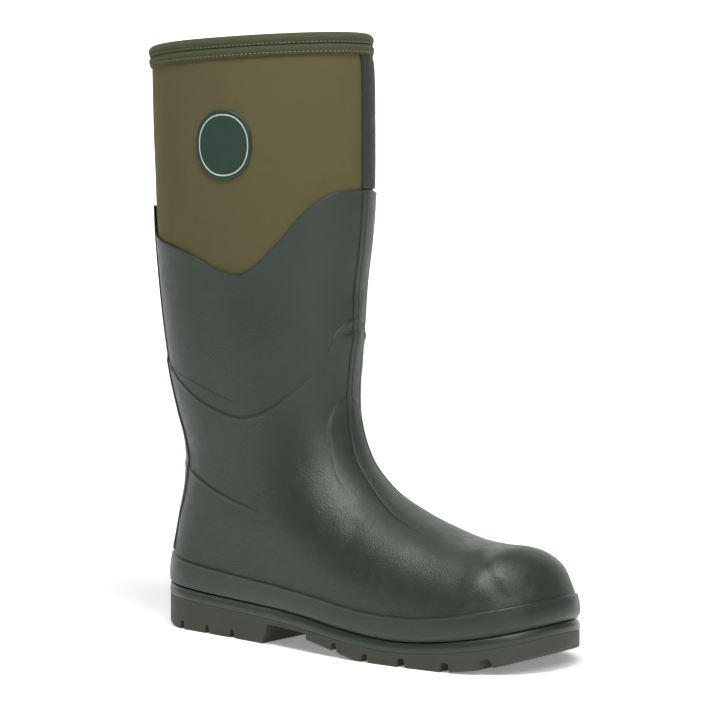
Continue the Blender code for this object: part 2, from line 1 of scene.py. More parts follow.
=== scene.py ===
"""Looks of the tall rubber and neoprene safety boot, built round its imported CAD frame.

The upper is the same lofted surface as the CAD skins, drawn finely: columns q run round
the leg (0 back centre, 12 front centre, 0..12 on the outer side), s runs up the front
outline. Lengths in the drawing are millimetres; ORIGIN moves them to the frame's origin.
"""
import math

import bpy
import numpy as np
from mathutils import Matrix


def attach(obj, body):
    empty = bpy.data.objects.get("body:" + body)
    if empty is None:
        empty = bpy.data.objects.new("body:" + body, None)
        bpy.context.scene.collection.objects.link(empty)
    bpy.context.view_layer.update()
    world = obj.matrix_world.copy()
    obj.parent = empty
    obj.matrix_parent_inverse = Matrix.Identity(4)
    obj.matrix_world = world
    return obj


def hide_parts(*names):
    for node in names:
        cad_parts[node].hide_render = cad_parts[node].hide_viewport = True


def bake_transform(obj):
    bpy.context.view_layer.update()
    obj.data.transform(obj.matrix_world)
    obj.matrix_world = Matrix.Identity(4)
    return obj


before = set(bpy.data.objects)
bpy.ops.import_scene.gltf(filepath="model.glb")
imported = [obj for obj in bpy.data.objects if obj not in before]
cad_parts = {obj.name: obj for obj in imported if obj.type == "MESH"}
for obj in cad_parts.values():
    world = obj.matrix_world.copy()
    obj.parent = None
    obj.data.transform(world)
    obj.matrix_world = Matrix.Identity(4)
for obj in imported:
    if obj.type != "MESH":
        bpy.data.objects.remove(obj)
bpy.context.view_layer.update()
rng = np.random.default_rng(7)

MM = 0.001
ORIGIN = np.array([150.75, -1.27, 0.0])

FRONT = [(311.4, 10.0), (311.2, 38.0), (306.6, 52.0), (298.0, 65.6), (283.6, 73.4),
         (265.0, 74.4), (244.6, 76.2), (221.8, 82.4), (199.4, 90.6), (176.6, 102.4),
         (156.0, 121.0), (145.2, 147.2), (143.8, 175.7), (145.8, 203.7), (146.8, 232.0),
         (149.6, 264.0), (151.4, 298.5), (151.8, 338.8), (151.6, 376.5), (149.6, 404.0)]
BACK = [(-1.6, 10.0), (-1.6, 37.6), (1.4, 56.0), (7.4, 80.0), (13.4, 104.5), (13.0, 128.0),
        (7.8, 145.4), (1.8, 170.4), (-1.8, 198.5), (-4.8, 231.0), (-6.8, 267.4),
        (-7.6, 309.6), (-9.4, 349.8), (-10.6, 397.0)]
CHORD_BACK_Z = [10, 29, 35, 42, 48, 53, 58, 64, 71, 80, 90, 104, 128, 165, 208, 250, 292, 336,
                368, 397]
ROUND_FRONT = [50, 50, 50, 49, 48, 47, 47, 48, 50, 52, 54, 57, 62, 68, 76, 84, 90, 94, 97, 100]
ROUND_BACK = [41, 41, 41, 43, 46, 50, 53, 56, 58, 60, 61, 62, 63, 64]
POWER_FRONT = [2.1] * 6 + [2.25, 2.3, 2.25, 2.15, 2.1, 2.05] + [2.0] * 8
FOOT_HALF_WIDTH = [(0, 38.5), (25, 39.5), (50, 40.2), (80, 41.0), (115, 42.6), (150, 46.0),
                   (185, 49.6), (215, 51.4), (245, 51.6), (275, 51.0), (320, 49.5)]
SHAFT_HALF_WIDTH = [(0, 40), (60, 41), (100, 43.2), (130, 44.8), (160, 47), (200, 51),
                    (240, 54.4), (280, 57.2), (320, 58.6), (360, 58.8), (400, 58.4)]
CENTRE_LINE = [(0, 0), (40, 0), (80, -1), (120, -2.5), (160, -2.5), (200, 0), (235, 3.5),
               (265, 7), (290, 10), (320, 12)]
TWIST_DEG, TWIST_X, TWIST_Z = 8.5, 66.0, (110.0, 300.0)
UNDERSIDE = [(-8, 6.5), (0, 5.0), (10, 2.0), (24, 0), (118, 0), (154, 8.0), (178, 3.8), (195, 0),
             (260, 0), (272, 1.3), (285, 3.2), (297, 6.2), (305, 9.4), (310, 12.0), (316, 14.6)]
OUTSOLE_TOP = [(-8, 22.5), (20, 21.6), (57, 19.6), (94, 18.2), (120, 17.2), (147, 15.4), (176, 12.2),
               (200, 9.9), (218, 9.1), (233, 9.3), (250, 10.7), (270, 13.2), (294, 17.4), (308, 21.2),
               (316, 24.0)]
LIP_TOP = [(-8, 29.8), (20, 29.2), (57, 26.8), (100, 25.2), (136, 23.9), (156, 22.2), (171, 20.2),
           (192, 17.7), (211, 16.2), (232, 16.0), (250, 17.4), (267, 19.7), (290, 23.8), (306, 27.9),
           (316, 31.0)]
RAND_TOP = [(-8, 51.0), (20, 49.3), (51, 45.8), (92, 42.5), (137, 39.7), (167, 36.7), (188, 33.9),
            (209, 32.2), (228, 31.9), (243, 32.7), (260, 34.9), (279, 38.1), (293, 41.1), (308, 44.9),
            (316, 47.2)]
EDGE_Z = [(0.0, 291), (1.0, 285), (2.0, 271), (3.0, 266), (4.0, 262.4), (5.0, 256.2),
          (6.0, 247.0), (7.0, 245.6), (8.0, 262.8), (9.0, 285), (10.0, 297), (11.0, 299.8), (12.0, 300.4)]
ANKLE = (73.0, 118.0)
NH = 12


# ------------------------------------------------------------------ the loft
def smooth(a, b, x):
    t = np.clip((np.asarray(x, float) - a) / (b - a), 0, 1)
    return t * t * (3 - 2 * t)


def table(rows, x):
    T = np.asarray(rows, float)
    X, Y = T[:, 0], T[:, 1]
    d = np.gradient(Y, X)
    x = np.clip(x, X[0], X[-1])
    i = np.clip(np.searchsorted(X, x) - 1, 0, len(X) - 2)
    h = X[i + 1] - X[i]
    t = (x - X[i]) / h
    return ((2 * t**3 - 3 * t**2 + 1) * Y[i] + (t**3 - 2 * t**2 + t) * h * d[i]
            + (-2 * t**3 + 3 * t**2) * Y[i + 1] + (t**3 - t**2) * h * d[i + 1])


def lin(rows, x):
    T = np.asarray(rows, float)
    return np.interp(x, T[:, 0], T[:, 1])


def curve(points, n=24, alpha=0.5):
    P = np.asarray(points, float)
    Q = np.vstack([2 * P[0] - P[1], P, 2 * P[-1] - P[-2]])
    out, par = [], []
    for i in range(1, len(Q) - 2):
        p0, p1, p2, p3 = Q[i - 1:i + 3]
        t1 = np.linalg.norm(p1 - p0) ** alpha
        t2 = t1 + np.linalg.norm(p2 - p1) ** alpha
        t3 = t2 + np.linalg.norm(p3 - p2) ** alpha
        t = np.linspace(t1, t2, n, endpoint=False)[:, None]
        a1 = (t1 - t) / t1 * p0 + t / t1 * p1
        a2 = (t2 - t) / (t2 - t1) * p1 + (t - t1) / (t2 - t1) * p2
        a3 = (t3 - t) / (t3 - t2) * p2 + (t - t2) / (t3 - t2) * p3
        b1 = (t2 - t) / t2 * a1 + t / t2 * a2
        b2 = (t3 - t) / (t3 - t1) * a2 + (t - t1) / (t3 - t1) * a3
        out.append((t2 - t) / (t2 - t1) * b1 + (t - t1) / (t2 - t1) * b2)
        par.append(i - 1 + (t[:, 0] - t1) / (t2 - t1))
    return np.vstack(out + [P[-1:]]), np.concatenate(par + [np.array([len(P) - 1.0])])


FC, FP = curve(FRONT)
BC, BP = curve(BACK)


def nearest(C, par, x, z):
    """Exact distance to a polyline, and the place on it."""
    shape = x.shape
    x, z = x.ravel(), z.ravel()
    out, pp = np.empty(len(x)), np.empty(len(x))
    for a in range(0, len(x), 20000):
        X, Z = x[a:a + 20000], z[a:a + 20000]
        k = ((X[:, None] - C[:, 0]) ** 2 + (Z[:, None] - C[:, 1]) ** 2).argmin(1)
        best, place = np.full(len(X), 1e18), np.zeros(len(X))
        for o in (-1, 0):
            i = np.clip(k + o, 0, len(C) - 2)
            A, d = C[i], C[i + 1] - C[i]
            u = np.clip(((X - A[:, 0]) * d[:, 0] + (Z - A[:, 1]) * d[:, 1]) / (d ** 2).sum(1), 0, 1)
            e = (A[:, 0] + u * d[:, 0] - X) ** 2 + (A[:, 1] + u * d[:, 1] - Z) ** 2
            w = e < best
            best = np.where(w, e, best)
            place = np.where(w, par[i] * (1 - u) + par[i + 1] * u, place)
        out[a:a + 20000], pp[a:a + 20000] = np.sqrt(best), place
    return out.reshape(shape), pp.reshape(shape)


def bulge(t, p):
    t = np.clip(t, 0, 1)
    return (1 - (1 - t) ** p) ** (1 / p)


def half_width(x, z):
    df, pf = nearest(FC, FP, x, z)
    db, pb = nearest(BC, BP, x, z)
    rf = np.interp(pf, range(len(ROUND_FRONT)), ROUND_FRONT)
    rb = np.interp(pb, range(len(ROUND_BACK)), ROUND_BACK)
    p = np.interp(pf, range(len(POWER_FRONT)), POWER_FRONT)
    k = smooth(70, 155, z)
    w = table(FOOT_HALF_WIDTH, x) * (1 - k) + table(SHAFT_HALF_WIDTH, z) * k
    return w * bulge(df / rf, p) * bulge(db / rb, 2.0)


NQ = 576                                   # master columns round the leg
SM = np.linspace(0, 19, 20 * 34 + 1)       # master rows
NS = len(SM)


def master():
    qh = np.arange(NQ // 2 + 1) * 24.0 / NQ
    t = (1 - np.cos(np.pi * qh / NH)) / 2
    order = np.argsort(BC[:, 1])
    fx, fz = np.interp(SM, FP, FC[:, 0]), np.interp(SM, FP, FC[:, 1])
    bz = table(list(enumerate(CHORD_BACK_Z)), SM)
    bx = np.interp(bz, BC[order, 1], BC[order, 0])
    X = bx[:, None] + (fx - bx)[:, None] * t
    Z = bz[:, None] + (fz - bz)[:, None] * t
    H = half_width(X, Z)
    H[:, 0] = H[:, -1] = 0
    # ease the half widths along the rows, so that the surface has no crease
    for _ in range(30):
        H[1:-1, 1:-1] = 0.5 * H[1:-1, 1:-1] + 0.25 * (H[2:, 1:-1] + H[:-2, 1:-1])
    C = table(CENTRE_LINE, X) * (1 - smooth(70, 130, Z))
    P = np.zeros((NS, NQ, 3))
    n = NQ // 2
    P[:, :n + 1] = np.stack([X, C - H, Z], 2)
    P[:, n + 1:] = np.stack([X, C + H, Z], 2)[:, n - 1:0:-1]
    k = smooth(*TWIST_Z, P[..., 2]) * math.radians(TWIST_DEG)
    x, y = P[..., 0] - TWIST_X, P[..., 1].copy()
    P[..., 0] = TWIST_X + x * np.cos(k) - y * np.sin(k)
    P[..., 1] = x * np.sin(k) + y * np.cos(k)
    N = np.cross(np.roll(P, -2, 1) - np.roll(P, 2, 1), np.gradient(P, axis=0))
    N /= np.linalg.norm(N, axis=2, keepdims=True)
    return P, N


PM, NM = master()
QM = np.arange(NQ) * 24.0 / NQ
LM = np.zeros((NS, NQ))                    # length along each column
LM[1:] = np.cumsum(np.linalg.norm(np.diff(PM, axis=0), axis=2), axis=0)


def ev(Q, S):
    """Points and normals of the loft at arrays of (q, s)."""
    Q, S = np.broadcast_arrays(np.asarray(Q, float), np.asarray(S, float))
    fq = (Q % 24.0) / 24.0 * NQ
    j0 = np.floor(fq).astype(int) % NQ
    j1, wq = (j0 + 1) % NQ, (fq - np.floor(fq))[..., None]
    fs = np.clip(S, 0, 19) / 19.0 * (NS - 1)
    i0 = np.clip(np.floor(fs).astype(int), 0, NS - 2)
    ws = (fs - i0)[..., None]
    P = (PM[i0, j0] * (1 - wq) + PM[i0, j1] * wq) * (1 - ws) + (PM[i0 + 1, j0] * (1 - wq) + PM[i0 + 1, j1] * wq) * ws
    N = (NM[i0, j0] * (1 - wq) + NM[i0, j1] * wq) * (1 - ws) + (NM[i0 + 1, j0] * (1 - wq) + NM[i0 + 1, j1] * wq) * ws
    return P, N / np.linalg.norm(N, axis=-1, keepdims=True)


def length_at(Q, S):
    Q, S = np.broadcast_arrays(np.asarray(Q, float), np.asarray(S, float))
    fq = (Q % 24.0) / 24.0 * NQ
    j0 = np.floor(fq).astype(int) % NQ
    j1, wq = (j0 + 1) % NQ, fq - np.floor(fq)
    fs = np.clip(S, 0, 19) / 19.0 * (NS - 1)
    i0 = np.clip(np.floor(fs).astype(int), 0, NS - 2)
    ws = fs - i0
    return (LM[i0, j0] * (1 - wq) + LM[i0, j1] * wq) * (1 - ws) + (LM[i0 + 1, j0] * (1 - wq) + LM[i0 + 1, j1] * wq) * ws


def s_of_length(q, L):
    """s at lengths L (array) along column q."""
    f = (q % 24.0) / 24.0 * NQ
    j0 = int(f) % NQ
    w = f - int(f)
    col = LM[:, j0] * (1 - w) + LM[:, (j0 + 1) % NQ] * w
    return np.interp(L, col, SM)


def first_cross(q, test):
    """Lowest s where test turns from negative to positive, for each column in q."""
    out = []
    for a in np.atleast_1d(q):
        P, _ = ev(np.full(NS, a), SM)
        v = test(P)
        k = np.nonzero((v[:-1] < 0) & (v[1:] >= 0))[0]
        if len(k) == 0:
            out.append(0.0 if v[0] >= 0 else 19.0)
        else:
            k = k[0]
            out.append(SM[k] + (SM[k + 1] - SM[k]) * -v[k] / (v[k + 1] - v[k]))
    return np.array(out)


def z_lip(x):
    return table(LIP_TOP, x)


def z_out(x):
    return table(OUTSOLE_TOP, x)


def z_rand(x):
    return table(RAND_TOP, x)


def under(x):
    return lin(UNDERSIDE, x)


def fold(q):
    m = np.asarray(q, float) % 24.0
    return np.where(m <= 12, m, 24 - m)


def s_lip(q, c):
    return first_cross(q, lambda P: P[:, 2] - z_lip(P[:, 0]) - c)


def s_rand(q, c=0.0):
    return first_cross(q, lambda P: P[:, 2] - z_rand(P[:, 0]) - c)


def s_edge(q, off=0.0):
    return np.array([first_cross([a], lambda P: P[:, 2] - float(table(EDGE_Z, np.array([float(fold(a))]))[0]) - off)[0]
                     for a in np.atleast_1d(q)])


def s_down(q, h):
    """s at h mm below the collar's top along each column."""
    return np.array([s_of_length(a, length_at(a, 19.0) - h) for a in np.atleast_1d(q)])


# depths of the layers, as in the CAD
def on_foot(z):
    return 1 - smooth(120, 200, z)


def lift(z):
    return smooth(235, 300, z) * 1.0


def rub_in(z):
    return -(1.2 + on_foot(z))


# ------------------------------------------------------------------ meshing
def noise_grid(P, scale, seed, octaves=3):
    """Smooth value noise of points, for gentle hand-made unevenness."""
    out, amp, tot = np.zeros(P.shape[:-1]), 1.0, 0.0
    for o in range(octaves):
        r = np.random.default_rng(seed + o)
        lattice = r.uniform(-1, 1, (32, 32, 32))
        p = P / scale * (2 ** o)
        i = np.floor(p).astype(int)
        f = p - i
        f = f * f * (3 - 2 * f)
        acc = 0
        for dx in (0, 1):
            for dy in (0, 1):
                for dz in (0, 1):
                    w = ((f[..., 0] if dx else 1 - f[..., 0]) * (f[..., 1] if dy else 1 - f[..., 1])
                         * (f[..., 2] if dz else 1 - f[..., 2]))
                    acc = acc + w * lattice[(i[..., 0] + dx) % 32, (i[..., 1] + dy) % 32, (i[..., 2] + dz) % 32]
        out += amp * acc
        tot += amp
        amp *= 0.5
    return out / tot


def make(name, verts, faces, mat, uv=None, angle=50):
    v = (np.asarray(verts, float).reshape(-1, 3) - ORIGIN) * MM
    me = bpy.data.meshes.new(name)
    me.from_pydata(v.tolist(), [], [tuple(int(i) for i in f) for f in faces])
    me.validate()
    if uv is not None:
        uv = np.asarray(uv, float).reshape(-1, 2)
        layer = me.uv_layers.new(name="UVMap")
        idx = np.zeros(len(me.loops), np.int32)
        me.loops.foreach_get("vertex_index", idx)
        layer.data.foreach_set("uv", uv[idx].astype(np.float32).ravel())
    me.shade_smooth()
    me.set_sharp_from_angle(angle=math.radians(angle))
    me.materials.append(mat)
    ob = bpy.data.objects.new(name, me)
    bpy.context.scene.collection.objects.link(ob)
    return ob


def torus_faces(m, n):
    """Quads of a grid of m profile points by n places round, closed both ways."""
    i, j = np.meshgrid(np.arange(m), np.arange(n), indexing="ij")
    i2, j2 = (i + 1) % m, (j + 1) % n
    return np.stack([i * n + j, i * n + j2, i2 * n + j2, i2 * n + j], -1).reshape(-1, 4)


def side_rows(n, fine):
    """Fractions and end offsets: rows dense near both ends. Returns (fraction, offset mm)."""
    rows = [(0.0, o) for o in fine] + [(k / n, 0.0) for k in range(1, n)] + [(1.0, -o) for o in reversed(fine)]
    return rows


def place_rows(L0, L1, n, fine=(0.0, 0.1, 0.3, 0.6, 1.0, 1.6)):
    """Lengths of the rows between L0 and L1 (arrays over columns): (rows, columns)."""
    out = []
    lo = fine[-1]
    for o in fine:
        out.append(L0 + o)
    for k in range(1, n):
        out.append(L0 + lo + (L1 - L0 - 2 * lo) * k / n)
    for o in reversed(fine):
        out.append(L1 - o)
    return np.array(out)


def drop(d, r):
    """Fall of a rounded edge of radius r at distance d from it."""
    t = np.clip(d, 0, r)
    return r - np.sqrt(np.maximum(r * r - (r - t) ** 2, 0))


def uv_of(Q, L):
    return np.stack([Q / 24.0 * 4.2, L / 100.0], -1)


def sleeve(name, q, s0, s1, n, outer, inner, mat, round_low=0.5, round_high=0.5, wall_rows=40, relief=None):
    """Closed skin all round, between s0(q) and s1(q): outer(P, Q, S) and inner(P, Q, S) are depths."""
    L0, L1 = length_at(q, s0), length_at(q, s1)
    fine = (0.0, 0.06, 0.2, 0.45, 0.8, 1.4)
    LL = place_rows(L0, L1, n, fine)
    S = np.stack([s_of_length(a, LL[:, j]) for j, a in enumerate(q)], 1)
    Q = np.broadcast_to(q, S.shape)
    P, N = ev(Q, S)
    do = outer(P, Q, S)
    di_here = inner(P, Q, S)
    wall = do - di_here
    do = do - np.minimum(drop(LL - L0, round_low), 0.45 * wall) - np.minimum(drop(L1 - LL, round_high), 0.45 * wall)
    A = P + N * do[..., None]
    LB = place_rows(L0, L1, wall_rows, (0.0, 0.3, 1.0))
    SB = np.stack([s_of_length(a, LB[:, j]) for j, a in enumerate(q)], 1)
    QB = np.broadcast_to(q, SB.shape)
    PB, NB = ev(QB, SB)
    db = inner(PB, QB, SB)
    db = db + drop(LB - L0, 0.3) + drop(L1 - LB, 0.3)
    B = (PB + NB * db[..., None])[::-1]
    V = np.concatenate([A, B], 0)
    U = np.concatenate([uv_of(Q, LL), uv_of(QB, LB)[::-1]], 0)
    return make(name, V, torus_faces(V.shape[0], V.shape[1]), mat, U), (P, N, Q, S)


def patch(name, Q, S, outer, inner, mat, uv=None):
    """Closed solid over a grid of (q, s) between two depth arrays."""
    P, N = ev(Q, S)
    A, B = P + N * outer[..., None], P + N * inner[..., None]
    m, n = Q.shape
    V = np.concatenate([A.reshape(-1, 3), B.reshape(-1, 3)])
    i, j = np.meshgrid(np.arange(m - 1), np.arange(n - 1), indexing="ij")
    a = (i * n + j).ravel()
    top = np.stack([a, a + 1, a + n + 1, a + n], 1)
    low = (top + m * n)[:, ::-1]
    rim = []
    k = np.arange(n - 1)
    rim.append(np.stack([k + 1, k, k + m * n, k + 1 + m * n], 1))
    e = (m - 1) * n
    rim.append(np.stack([e + k, e + k + 1, e + k + 1 + m * n, e + k + m * n], 1))
    r = np.arange(m - 1) * n
    rim.append(np.stack([r, r + n, r + n + m * n, r + m * n], 1))
    r = r + n - 1
    rim.append(np.stack([r + n, r, r + m * n, r + n + m * n], 1))
    F = np.concatenate([top, low] + rim)
    if uv is None:
        uv = uv_of(Q, length_at(Q, S))
    return make(name, V, F, mat, np.concatenate([uv.reshape(-1, 2), uv.reshape(-1, 2)]))


def strip(name, qa, qb, s0, s1, n, width_rows, outer, inner, mat, radius, fine=(0.0, 0.08, 0.25, 0.5, 0.9, 1.4)):
    """Strip running up the boot: its sides are the curves qa(s), qb(s), its ends s0, s1.
    outer and inner are depth functions of P; all four edges are rounded by radius."""
    ref = np.linspace(0, 1, n + 1)
    qmid = 0.5 * (qa((s0 + s1) / 2) + qb((s0 + s1) / 2))
    L0, L1 = float(length_at(qmid, s0)), float(length_at(qmid, s1))
    LL = place_rows(np.array([L0]), np.array([L1]), n, fine)[:, 0]
    s = s_of_length(qmid, LL)
    A, B = qa(s), qb(s)
    Pa, _ = ev(A, s)
    Pb, _ = ev(B, s)
    fullw = np.linalg.norm(ev(0.5 * (A + B), s)[0] - Pa, axis=1) + np.linalg.norm(ev(0.5 * (A + B), s)[0] - Pb, axis=1)
    cols = [fullw * 0 + f for f in fine] + [fine[-1] + (fullw - 2 * fine[-1]) * k / width_rows for k in range(1, width_rows)] \
        + [fullw - f for f in reversed(fine)]
    W = np.stack(cols, 1)
    Q = A[:, None] + (B - A)[:, None] * (W / fullw[:, None])
    S = np.broadcast_to(s[:, None], Q.shape)
    P, N = ev(Q, S)
    do, di = outer(P, Q, S), inner(P, Q, S)
    fall = drop(W, radius) + drop(fullw[:, None] - W, radius) + drop(LL - L0, radius)[:, None] + drop(L1 - LL, radius)[:, None]
    do = np.maximum(do - fall, di + 0.12)
    return patch(name, Q, S, do, di, mat)


# ------------------------------------------------------------------ materials
def material(name, colour, rough, metal=0.0, sheen=0.0, spec=0.5, coat=0.0):
    m = bpy.data.materials.new(name)
    m.use_nodes = True
    nt = m.node_tree
    b = nt.nodes["Principled BSDF"]
    b.inputs["Base Color"].default_value = (*colour, 1)
    b.inputs["Roughness"].default_value = rough
    b.inputs["Metallic"].default_value = metal
    b.inputs["Specular IOR Level"].default_value = spec
    if sheen:
        b.inputs["Sheen Weight"].default_value = sheen
        b.inputs["Sheen Roughness"].default_value = 0.45
    if coat:
        b.inputs["Coat Weight"].default_value = coat
        b.inputs["Coat Roughness"].default_value = 0.35
    return m, nt, b


def node(nt, kind, **values):
    n = nt.nodes.new(kind)
    for k, v in values.items():
        if k in n.inputs:
            n.inputs[k].default_value = v
        else:
            setattr(n, k, v)
    return n


def coords(nt, kind="Object", scale=(1, 1, 1)):
    tc = node(nt, "ShaderNodeTexCoord")
    mp = node(nt, "ShaderNodeMapping")
    mp.inputs["Scale"].default_value = scale
    nt.links.new(tc.outputs[kind], mp.inputs["Vector"])
    return mp.outputs["Vector"]


def noise(nt, vec, scale, detail=4, rough=0.55, distort=0.0):
    n = node(nt, "ShaderNodeTexNoise")
    n.inputs["Scale"].default_value = scale
    n.inputs["Detail"].default_value = detail
    n.inputs["Roughness"].default_value = rough
    n.inputs["Distortion"].default_value = distort
    nt.links.new(vec, n.inputs["Vector"])
    return n.outputs["Fac"]


def ramp(nt, fac, stops):
    r = node(nt, "ShaderNodeValToRGB")
    e = r.color_ramp.elements
    while len(e) < len(stops):
        e.new(0.5)
    for k, (p, c) in enumerate(stops):
        e[k].position = p
        e[k].color = (*c, 1)
    nt.links.new(fac, r.inputs["Fac"])
    return r.outputs["Color"]


def remap(nt, fac, a, b, c, d):
    n = node(nt, "ShaderNodeMapRange")
    for k, v in zip(("From Min", "From Max", "To Min", "To Max"), (a, b, c, d)):
        n.inputs[k].default_value = v
    nt.links.new(fac, n.inputs["Value"])
    return n.outputs["Result"]


def mathn(nt, op, a, b=None):
    n = node(nt, "ShaderNodeMath")
    n.operation = op
    for k, v in enumerate((a, b)):
        if v is None:
            continue
        if isinstance(v, (int, float)):
            n.inputs[k].default_value = v
        else:
            nt.links.new(v, n.inputs[k])
    return n.outputs[0]


def bump(nt, b, layers):
    """layers: (height socket, strength, distance in metres), chained into the shader's normal."""
    last = None
    for h, strength, dist in layers:
        n = node(nt, "ShaderNodeBump")
        n.inputs["Strength"].default_value = strength
        n.inputs["Distance"].default_value = dist
        nt.links.new(h, n.inputs["Height"])
        if last is not None:
            nt.links.new(last, n.inputs["Normal"])
        last = n.outputs["Normal"]
    nt.links.new(last, b.inputs["Normal"])


def shade(c, k):
    return tuple(min(1.0, x * k) for x in c)


def rubber(name, colour, rough=0.5, grain=1.0, spec=0.4):
    m, nt, b = material(name, colour, rough, spec=spec)
    v = coords(nt)
    big = noise(nt, v, 22, 3)
    mid = noise(nt, v, 160, 4)
    fine = noise(nt, v, 1500, 2, 0.5)
    vo = node(nt, "ShaderNodeTexVoronoi")
    vo.inputs["Scale"].default_value = 950
    nt.links.new(v, vo.inputs["Vector"])
    pebble = noise(nt, v, 850, 3, 0.6)
    tone = mathn(nt, "ADD", mathn(nt, "MULTIPLY", big, 0.6), mathn(nt, "MULTIPLY", mid, 0.4))
    nt.links.new(ramp(nt, tone, [(0.3, shade(colour, 0.86)), (0.52, colour), (0.75, shade(colour, 1.13))]), b.inputs["Base Color"])
    nt.links.new(remap(nt, mid, 0.3, 0.75, rough - 0.07, rough + 0.09), b.inputs["Roughness"])
    bump(nt, b, [(big, 0.12, 0.002), (pebble, 0.38 * grain, 0.00045), (vo.outputs["Distance"], 0.34 * grain, 0.0003), (fine, 0.25 * grain, 0.0003)])
    return m


def fabric(name, colour, rough=0.85, knit=(5.0, 5.0), sheen=0.25, depth=1.0, contrast=0.12):
    """Fine knit: little V loops from two crossed waves in the surface's own coordinates."""
    m, nt, b = material(name, colour, rough, sheen=sheen, spec=0.25)
    b.inputs["Sheen Tint"].default_value = (*shade(colour, 3.0), 1)
    uv = coords(nt, "UV")
    wa = node(nt, "ShaderNodeTexWave", wave_type="BANDS", bands_direction="X")
    wa.inputs["Scale"].default_value = knit[0] * 10
    wa.inputs["Distortion"].default_value = 0.6
    wa.inputs["Detail"].default_value = 1.0
    nt.links.new(uv, wa.inputs["Vector"])
    wb = node(nt, "ShaderNodeTexWave", wave_type="BANDS", bands_direction="Y")
    wb.inputs["Scale"].default_value = knit[1] * 10
    wb.inputs["Distortion"].default_value = 0.6
    wb.inputs["Detail"].default_value = 1.0
    nt.links.new(uv, wb.inputs["Vector"])
    weave = mathn(nt, "MULTIPLY", wa.outputs["Fac"], wb.outputs["Fac"])
    v = coords(nt)
    fuzz = noise(nt, v, 1500, 3, 0.6)
    heather = noise(nt, v, 620, 3, 0.7)
    blotch = noise(nt, v, 14, 4, 0.6)
    tone = mathn(nt, "ADD", mathn(nt, "MULTIPLY", blotch, 0.42), mathn(nt, "MULTIPLY", weave, 0.26 * contrast / 0.12))
    tone = mathn(nt, "ADD", tone, mathn(nt, "MULTIPLY", heather, 0.32))
    nt.links.new(ramp(nt, tone, [(0.2, shade(colour, 0.84)), (0.45, colour), (0.8, shade(colour, 1.16))]), b.inputs["Base Color"])
    nt.links.new(remap(nt, blotch, 0.3, 0.7, rough - 0.06, min(1.0, rough + 0.06)), b.inputs["Roughness"])
    bump(nt, b, [(blotch, 0.10, 0.003), (weave, 0.40 * depth, 0.0003), (heather, 0.35 * depth, 0.0004), (fuzz, 0.30 * depth, 0.0002)])
    return m


def metal(name, colour, rough):
    m, nt, b = material(name, colour, rough, metal=1.0)
    v = coords(nt, "Object", (1, 12, 1))
    brushed = noise(nt, v, 260, 5, 0.6)
    spots = noise(nt, coords(nt), 35, 4)
    nt.links.new(ramp(nt, spots, [(0.3, shade(colour, 0.75)), (0.7, colour)]), b.inputs["Base Color"])
    nt.links.new(remap(nt, brushed, 0.3, 0.7, rough - 0.06, rough + 0.14), b.inputs["Roughness"])
    bump(nt, b, [(brushed, 0.15, 0.0002)])
    return m


def foam(name, colour, rough=0.9, cell=700):
    m, nt, b = material(name, colour, rough, spec=0.3)
    v = coords(nt)
    vo = node(nt, "ShaderNodeTexVoronoi")
    vo.inputs["Scale"].default_value = cell
    nt.links.new(v, vo.inputs["Vector"])
    tone = noise(nt, v, 60, 4)
    nt.links.new(ramp(nt, tone, [(0.3, shade(colour, 0.8)), (0.7, shade(colour, 1.15))]), b.inputs["Base Color"])
    nt.links.new(remap(nt, tone, 0.3, 0.7, rough - 0.08, min(1.0, rough + 0.05)), b.inputs["Roughness"])
    bump(nt, b, [(vo.outputs["Distance"], 0.5, 0.0004), (tone, 0.2, 0.001)])
    return m


C_RUBBER = (0.021, 0.032, 0.021)
C_OLIVE = (0.094, 0.081, 0.035)
M_RUBBER = rubber("rubber_grey_green", C_RUBBER, 0.44, 1.0, 0.5)
M_RAND = rubber("rubber_rand", (0.022, 0.033, 0.022), 0.38, 0.5, 0.5)
M_LIP = rubber("rubber_lip", (0.024, 0.034, 0.024), 0.36, 0.4, 0.5)
M_OUTSOLE = rubber("rubber_outsole", (0.047, 0.049, 0.037), 0.60, 0.8, 0.4)
M_NEO = fabric("neoprene_olive", C_OLIVE, 0.88, (7.0, 7.0), 0.25, 0.8, 0.10)
M_BIND = fabric("binding_green", (0.059, 0.063, 0.031), 0.82, (9.0, 3.5), 0.25, 1.2, 0.18)
M_TAPE = rubber("seam_tape", (0.022, 0.026, 0.020), 0.60, 1.2, 0.3)
M_LINING = fabric("knit_lining", (0.150, 0.148, 0.130), 0.92, (4.0, 4.0), 0.2, 1.6, 0.25)
M_THREAD = fabric("thread_green", (0.150, 0.170, 0.105), 0.7, (30.0, 30.0), 0.1, 0.5, 0.1)
M_PATCH = rubber("patch_green", (0.015, 0.038, 0.026), 0.45, 0.4)
M_PATCH_RIM = rubber("patch_rim", (0.42, 0.46, 0.42), 0.5, 0.4)
M_STEEL = metal("steel", (0.55, 0.56, 0.57), 0.34)
M_BOARD = foam("fibre_board", (0.40, 0.32, 0.21), 0.88, 900)
M_FOAM = foam("foam_grey", (0.30, 0.30, 0.29))
M_BLACK = foam("foam_black", (0.022, 0.022, 0.022), 0.85)
M_CLOTH = fabric("footbed_cloth", (0.075, 0.080, 0.070), 0.92, (4.0, 4.0), 0.2, 1.4, 0.2)


def bends(ob, *nodes, slot):
    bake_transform(ob)
    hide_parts(*nodes)
    return ob


def rides(ob, body, *nodes, slot):
    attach(ob, body)
    if nodes:
        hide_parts(*nodes)
    return ob


